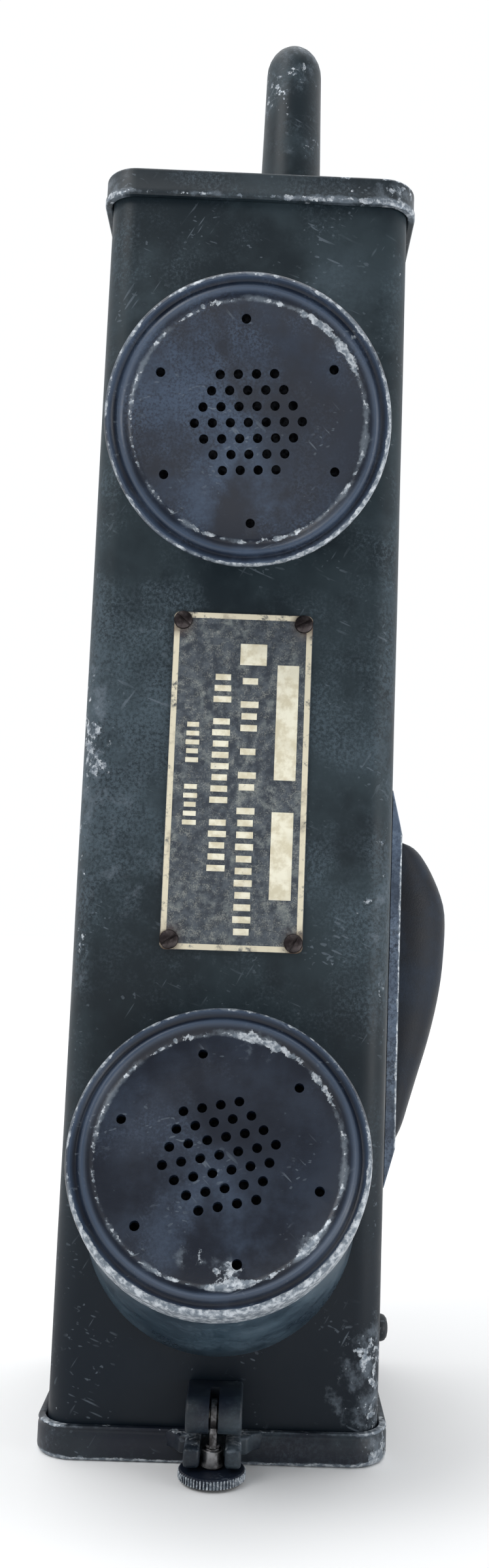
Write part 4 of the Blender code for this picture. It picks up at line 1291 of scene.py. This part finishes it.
@dataclass
class TalkSwitch:
    """Frame and rubber boot on the right side."""

    half: float = 11.2
    low: float = 73.0
    high: float = 156.0
    wall: float = 1.5
    foot: float = 43.2
    crown: Outline = field(
        default_factory=lambda: [
            *((72.6, 0.2), (74, 1.5), (77, 3.2), (83, 5.1), (91, 7.5), (99, 9.9), (108.5, 12.2), (118, 13.8)),
            *((127.5, 14.5), (134.5, 14.6), (139, 14.0), (145, 11.8), (151.5, 8.2), (155.2, 4.6)),
            (156.4, 0.6),
        ]
    )

    def rise(self, z: float) -> float:
        """How far the boot stands out at a height, smoothed through the stations."""
        last = len(self.crown) - 1
        k = next((i for i in range(last) if z <= self.crown[i + 1][0]), last - 1)
        (z0, h0), (z1, h1) = self.crown[k : k + 2]
        slopes = []
        for i in (k, k + 1):
            a, b = self.crown[max(0, i - 1)], self.crown[min(last, i + 1)]
            slopes.append((b[1] - a[1]) / (b[0] - a[0]))
        t = min(1.0, max(0.0, (z - z0) / (z1 - z0)))
        width = z1 - z0
        start = h0 * (2 * t**3 - 3 * t**2 + 1) + slopes[0] * width * (t**3 - 2 * t**2 + t)
        return start + h1 * (3 * t**2 - 2 * t**3) + slopes[1] * width * (t**3 - t**2)

    def sheet(self, inset: float, drop: float) -> list[list[Vector]]:
        """Grid of points over the boot, drawn in by an inset and a drop."""
        grid = []
        for i in range(41):
            share = 0.5 - 0.5 * math.cos(math.pi * i / 40)
            z = self.low + share * (self.high - self.low)
            real = self.low + inset + share * (self.high - self.low - 2 * inset)
            line = []
            for k in range(-12, 13):
                across = math.sin(math.radians(90 * k / 12))
                bulge = math.sqrt(max(0.0, 1 - abs(across) ** 2.6))
                x = 46.2 - drop + max(0.0, self.rise(z) - 0.1) * bulge
                line.append(Vector((x, across * (self.half - inset), real)))
            grid.append(line)
        return grid

    def boot(self) -> Shape:
        """Hollow boot: two sheets joined round their edges by a skirt."""
        grids = [self.sheet(0.0, 0.0), self.sheet(self.wall, self.wall)]
        rows, columns = len(grids[0]), len(grids[0][0])
        edge = [(0, j) for j in range(columns - 1)] + [(i, columns - 1) for i in range(rows - 1)]
        edge += [(rows - 1, j) for j in range(columns - 1, 0, -1)] + [(i, 0) for i in range(rows - 1, 0, -1)]
        rings = [[grids[0][i][j] for i, j in edge]]
        rings.append([Vector((self.foot, p.y, p.z)) for p in rings[0]])
        inner = [grids[1][i][j] for i, j in edge]
        rings.append([Vector((self.foot, p.y, p.z)) for p in inner])
        rings.append(inner)
        band = skin(rings)
        band.faces = band.faces[:-2]
        for grid in grids:
            sheet = Shape([point for line in grid for point in line])
            for i in range(rows - 1):
                for j in range(columns - 1):
                    here = i * columns + j
                    sheet.faces.append((here, here + 1, here + columns + 1, here + columns))
            band.add(sheet)
        return band

    def build(self, finishes: Finishes) -> None:
        """Make the boot and the frame; the plate is dressed with the inside."""
        shape = self.boot()
        made = piece("boot", shape, finishes["boot_rubber"], 50)
        mend(made.data, WELD)
        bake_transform(made)
        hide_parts("ptt_boot")
        side = [(43.1, 61.5), (43.6, 61.5), (46.5, 72), (46.5, 158), (43.6, 170.5), (43.1, 170.5)]
        frame = piece("switch_frame", beveled(side_prism(side, -15, 15), 0.5), finishes["frame_paint"])
        carve(frame, block((40, -11.5, 72.7), (50, 11.5, 156.3), 0.0))
        settle(frame, "case", "black_paint", "ptt_frame")


@dataclass
class PlungerSpring:
    """Coil spring that the talk switch's plunger presses shut."""

    start: float = 39.4
    length: float = 11.2
    height: float = 134.0
    radius: float = 2.6
    wire: float = 0.3
    turns: int = 5
    steps: int = 20
    keep: float = 0.65

    def build(self, finishes: Finishes) -> None:
        """Make the coil and give it a mesh of its own."""
        rings = []
        for k in range(self.turns * self.steps + 1):
            angle = 2 * math.pi * k / self.steps
            out = Vector((0, *polar(1.0, angle)))
            x = self.start + self.wire + (self.length - 2 * self.wire) * k / (self.turns * self.steps)
            centre = Vector((x, 0, self.height)) + self.radius * out
            rings.append([centre + a * out + Vector((b, 0, 0)) for a, b in circle(self.wire, 8)])
        made = piece("plunger_coil", skin(rings), finishes["spring_steel"])
        settle(made, "case", "bright_steel", "switch_spring")
        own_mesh(made)
        LOG.info("plunger_coil shortens with the talk switch")


@dataclass
class StrapBracket:
    """Small sloping plate with a domed stud."""

    side: float = 41.8

    def build(self, finishes: Finishes) -> None:
        """Make the plate and its stud in one piece."""
        x = self.side
        profile = [(x, 16.5), (x + 1.6, 17.5), (x + 1.6, 25.0), (x + 0.8, 33.5), (x, 33.5)]
        shape = beveled(side_prism(profile, -7.5, 7.5), 0.3)
        aim = pose((x + 1.5, 0, 21.0), 90, "Y")
        dome = [(3.6, 0), (3.6, 1.9), (3.3, 2.7), (2.5, 3.35), (1.3, 3.65), (0.1, 3.7)]
        shape.add(lathe(dome, 32).moved(aim))
        settle(piece("strap_plate", shape, finishes["latch_paint"]), "case", "black_paint", "strap_bracket")


@dataclass
class BottomCover:
    """Hinged tray with its fork and knuckles."""

    width: float = 87.6
    depth: float = 88.6
    radius: float = 9.8
    top: float = 8.1
    bolt_x: float = 0.6
    bolt_y: float = -53.0
    hinge_y: float = 46.6
    hinge_z: float = 10.5

    def outline(self, inset: float) -> Outline:
        """Cover outline drawn in by an inset."""
        return rounded(self.width - 2 * inset, self.depth - 2 * inset, self.radius - inset, 14)

    def tray(self) -> Shape:
        """Tray with a rounded foot and a rolled upper edge."""
        sections = [(8.0, 0.02), (1.9, 0.0)]
        for degrees in (20, 45, 70, 90):
            angle = math.radians(degrees)
            sections.append((1.5 * (1 - math.sin(angle)), 1.5 * (1 - math.cos(angle))))
        sections += [(0.0, 3.0), (0.0, 6.2), (0.25, 6.6), (0.25, 7.3), (0.0, 7.6), (0.25, self.top)]
        sections += [(1.7, self.top), (2.0, self.top - 0.3), (2.0, 2.4), (8.0, 2.4)]
        return dented(skin([level(self.outline(inset), z) for inset, z in sections]), 0.1, 20.0, 5.0)

    def fork(self) -> Shape:
        """Two rounded ears with ramps beside them."""
        x, y = self.bolt_x, self.bolt_y
        face = -self.depth / 2
        shape = Shape()
        for sign in (-1, 1):
            inner, outer = x + sign * 3.0, x + sign * 6.9
            low = (min(inner, outer), y - 4.0, 3.9)
            shape.add(block(low, (max(inner, outer), face + 0.6, 8.25), 0.9))
            ramp = [(x + sign * 5.0, face + 0.6), (x + sign * 5.0, face - 4.4), (x + sign * 8.2, face - 4.0)]
            ramp += [(x + sign * 9.0, face - 2.6), (x + sign * 9.8, face - 1.4)]
            ramp += [(x + sign * 12.2, face + 0.6)]
            outline = ramp if sign < 0 else ramp[::-1]
            shape.add(beveled(skin([level(outline, 4.1), level(outline, 8.0)]), 0.5))
        return shape

    def build(self, finishes: Finishes) -> None:
        """Make the cover in one piece."""
        shape = self.tray().add(self.fork())
        for sign in (-1, 1):
            x0, x1 = sorted((sign * 10.0, sign * 24.0))
            shape.add(block((x0, self.depth / 2 - 0.4, 5.0), (x1, self.hinge_y + 1.2, self.hinge_z), 0.3))
            start, end = Vector((x0, self.hinge_y, self.hinge_z)), Vector((x1, self.hinge_y, self.hinge_z))
            shape.add(rod(2.4, start, end, 32, 0.3))
        made = piece("cover_tray", shape, finishes["cover_paint"], 45)
        settle(made, "cover", "olive_paint", "bottom_cover")


@dataclass
class Hinge:
    """Leaf riveted to the back of the case."""

    rear: float = 42.3
    hinge_y: float = 46.6
    hinge_z: float = 10.5

    def build(self, finishes: Finishes) -> None:
        """Make the leaf, its rivets and its knuckle in one piece."""
        shape = block((-24, self.rear, 8.9), (24, self.rear + 1.2, 26), 0.4)
        shape.add(block((-9.7, self.rear + 0.5, self.hinge_z), (9.7, self.hinge_y, self.hinge_z + 2.4), 0.3))
        ends = [Vector((x, self.hinge_y, self.hinge_z)) for x in (-9.7, 9.7)]
        shape.add(rod(2.4, *ends, 32, 0.3))
        for x in (-18.0, -6.0, 6.0, 18.0):
            aim = pose((x, self.rear + 1.0, 20.0), -90)
            shape.add(lathe([(2.2, 0), (2.2, 0.4), (1.8, 0.9), (1.0, 1.2), (0.1, 1.3)], 24).moved(aim))
        settle(piece("leaf", shape, finishes["hinge_paint"]), "case", "black_paint", "hinge_leaf")


@dataclass
class Latch:
    """Lug on the case, swing bolt, collar and knurled nut."""

    x: float = 0.6
    y: float = -53.0
    pivot: float = 15.0
    lug_r: float = 4.3
    nut_r: float = 8.1
    nut_foot: float = 0.5
    nut_top: float = 3.0

    def build(self, finishes: Finishes) -> None:
        """Make the lug, the bolt, the collar and the nut."""
        arc = [math.radians(90 + 180 * k / 16) for k in range(17)]
        r = self.lug_r
        profile = [(-42.3, self.pivot - r), (-42.3, self.pivot + r)]
        profile += [(self.y + r * math.cos(a), self.pivot + r * math.sin(a)) for a in arc]
        shape = beveled(cross_prism(profile, self.x - 6.75, self.x + 6.75), 0.7, angle=50)
        lug = piece("lug", shape, finishes["latch_paint"], 40)
        carve(lug, block((self.x - 1.15, self.y - 9, 5), (self.x + 1.15, self.y + 5.6, 24)))
        settle(lug, "case", "black_paint", "latch_lug")
        self.build_bolt(finishes)
        self.build_nut(finishes)

    def build_bolt(self, finishes: Finishes) -> None:
        """Make the eye and the threaded shank in one piece, and the collar."""
        ends = [Vector((self.x + side, self.y, self.pivot)) for side in (-0.9, 0.9)]
        eye = rod(3.3, *ends, 40, 0.25)
        eye.add(block((self.x - 0.9, self.y - 1.7, 7.4), (self.x + 0.9, self.y + 1.7, self.pivot), 0.25))
        thread = []
        turns = 9
        for k in range(turns * 2 + 1):
            z = 0.9 + (8.2 - 0.9) * k / (turns * 2)
            thread.append((1.75 if k % 2 else 1.45, z))
        eye.add(lathe(thread, 28).moved(Matrix.Translation((self.x, self.y, 0))))
        settle(piece("bolt", eye, finishes["collar_steel"]), "swing_bolt", "bright_steel", "latch_bolt")
        ring = [(2.05, 3.3), (2.45, 3.3), (2.65, 3.5), (2.65, 7.1), (2.45, 7.3), (2.05, 7.3)]
        shape = lathe(ring, 40, Turn.JOINED).moved(Matrix.Translation((self.x, self.y, 0)))
        settle(piece("collar", shape, finishes["collar_steel"]), "nut_collar", "bright_steel", "latch_collar")

    def build_nut(self, finishes: Finishes) -> None:
        """Make the nut with a straight-knurled rim and chamfered faces."""
        teeth = 60
        steps = teeth * 4

        def knurl(radius: float, depth: float) -> Outline:
            """Outline with shallow teeth of the given depth."""
            points = []
            for k in range(steps):
                angle = 2 * math.pi * k / steps
                wave = 0.5 - 0.5 * math.cos(teeth * angle)
                points.append(polar(radius - depth * wave, angle))
            return points

        low, high = self.nut_foot, self.nut_top
        r = self.nut_r
        sections = [(2.05, 0.0, low), (r - 0.9, 0.0, low), (r, 0.35, low + 0.35), (r, 0.35, high - 0.5)]
        sections += [(r - 0.5, 0.1, high - 0.1), (r - 1.0, 0.0, high), (r - 1.6, 0.0, high - 0.12)]
        sections += [(3.6, 0.0, high - 0.1), (2.05, 0.0, high)]
        rings = [level(knurl(radius, depth), z) for radius, depth, z in sections]
        made = piece("nut", skin(rings, Turn.JOINED), finishes["nut_paint"], 28)
        framed(made, Matrix.Translation((self.x, self.y, 0)))
        settle(made, "knurled_nut", "bright_steel", "latch_nut")


DRESS = {
    "seal_rubber": "lid_gasket cover_gasket cap_seal",
    "screw_steel": "lid_screw_1 lid_screw_2 output_transformer ptt_lever",
    "spring_steel": "battery_spring_1 battery_spring_2 hinge_pin latch_pin ptt_lever_pin",
    "chassis_sheet": "chassis_frame if_can",
    "dark_bakelite": "ear_capsule mic_capsule ptt_switch crystal_unit",
    "gauze": "ear_diaphragm mic_diaphragm",
    "old_brass": "antenna_neck switch_plunger",
    "antenna_steel": "antenna_tube antenna_section_1 antenna_section_2 antenna_section_3 antenna_section_4",
    "enamelled_wire": "tank_coil loading_coil",
    "waxed_card": "ht_battery filament_battery",
    "valve_glass": "tube_1 tube_2 tube_3 tube_4 tube_5",
    "frame_paint": "ptt_plate",
}


class Inside:
    """Dress for the nodes that keep their own shape."""

    def build(self, finishes: Finishes, nodes: dict[str, Object]) -> None:
        """Give each node its finish.

        Args:
            finishes: The materials.
            nodes: The model's nodes by name.
        """
        for finish, names in DRESS.items():
            for name in names.split():
                nodes[name].data.materials.clear()
                nodes[name].data.materials.append(finishes[finish])
                LOG.info("%s is dressed in %s", name, finish)


# Studio


@dataclass
class Studio:
    """Pale floor, soft lights and the camera."""

    focal: float = 2046.0
    centre: tuple[float, float] = (436.9, 1151.8)
    place: tuple[float, float, float] = (7.46, -391.1, 131.4)
    pitch: float = -0.129
    yaw: float = 0.014
    roll: float = 0.035
    size: tuple[float, float] = (748.0, 2400.0)
    front: float = 0.35
    back: float = 1.03

    def build(self) -> None:
        """Make the floor, the lights and the camera."""
        self.build_floor()
        self.build_lights()
        self.build_camera()

    def build_floor(self) -> None:
        """Make the floor."""
        made = bpy.data.materials.new("floor_pale")
        made.use_nodes = True
        g = Graph(made.node_tree)
        shader = made.node_tree.nodes["Principled BSDF"]
        tint = g.noise(g.place(), 4.0, 2.0)
        colour = g.mix(tint, (0.93, 0.93, 0.93), (0.95, 0.95, 0.95))
        g.fill(shader, Base_Color=colour, Roughness=0.95, Specular_IOR_Level=0.1)
        floor = piece("floor", skin([level(circle(9000, 96), -3.0), level(circle(9000, 96), 0.0)]), made)

    def build_lights(self) -> None:
        """Make a room that is pale behind and dim in front, with soft lights."""
        world = bpy.data.worlds.new("pale_room")
        bpy.context.scene.world = world
        world.use_nodes = True
        g = Graph(world.node_tree)
        shade = world.node_tree.nodes["Background"]
        aim = g.node("ShaderNodeTexCoord").outputs["Generated"]
        strength = g.ramp(g.split(aim)[1], -0.75, 0.1, self.front, self.back)
        g.fill(shade, Color=(0.97, 0.985, 1.0), Strength=strength)
        lamps = (("key", (-0.8, -0.75, 1.15), 0.7, 7.0), ("fill", (0.9, -0.6, 0.1), 0.4, 4.0))
        for name, spot, size, power in lamps:
            lamp = bpy.data.lights.new(name, "AREA")
            lamp.size = size
            lamp.energy = power
            self.put(name, lamp, spot)
        sun = bpy.data.lights.new("overhead", "SUN")
        sun.energy = 1.0
        sun.angle = math.radians(70)
        self.put("overhead", sun, (-0.35, -0.1, 2.2))

    def put(self, name: str, lamp: bpy.types.Light, spot: tuple[float, float, float]) -> None:
        """Set a lamp at a spot and aim it at the middle of the radio."""
        made = bpy.data.objects.new(name, lamp)
        made.location = spot
        made.rotation_euler = (Vector((0, 0, 0.18)) - Vector(spot)).to_track_quat("-Z", "Y").to_euler()
        bpy.context.collection.objects.link(made)

    def build_camera(self) -> None:
        """Make the camera from its solved angles."""
        lens = bpy.data.cameras.new("camera")
        lens.sensor_width = 36.0
        lens.lens = self.focal / self.size[1] * 36.0
        lens.shift_x = (self.size[0] / 2 - self.centre[0]) / self.size[1]
        lens.shift_y = (self.centre[1] - self.size[1] / 2) / self.size[1]
        lens.clip_start = 0.01
        made = bpy.data.objects.new("camera", lens)
        axes = Matrix(((1, 0, 0), (0, 0, -1), (0, 1, 0)))
        turn = Matrix.Rotation(self.roll, 3, "Z") @ Matrix.Rotation(self.pitch, 3, "X") @ axes
        turn = turn @ Matrix.Rotation(self.yaw, 3, "Z")
        flip = Matrix(((1, 0, 0), (0, -1, 0), (0, 0, -1)))
        made.matrix_world = Matrix.Translation(Vector(self.place) * MM) @ (flip @ turn).transposed().to_4x4()
        bpy.context.collection.objects.link(made)
        bpy.context.scene.camera = made


def main() -> None:
    """Build every sub-assembly in order."""
    logging.basicConfig(level=logging.INFO, format="%(message)s")
    bpy.context.scene.view_settings.view_transform = "Standard"
    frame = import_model()
    finishes = Finishes()
    ear = SoundPiece("ear", rim_z=251.0, reach=41.0, tilt=18.0, base_z=264.4, base_r=30.0, turn=3.0)
    mouth = SoundPiece("mouth", rim_z=80.5, reach=39.0, tilt=-25.0, base_z=58.9, base_r=33.9, turn=12.0)
    parts = (Case(), Nameplate(), ear, mouth, AntennaCap(), TalkSwitch(), PlungerSpring(), StrapBracket())
    parts += (BottomCover(), Hinge(), Latch())
    for part in parts:
        part.build(finishes)
        LOG.info("built %s", type(part).__name__)
    Inside().build(finishes, frame["nodes"])
    Studio().build()


if __name__ == "__main__":
    main()
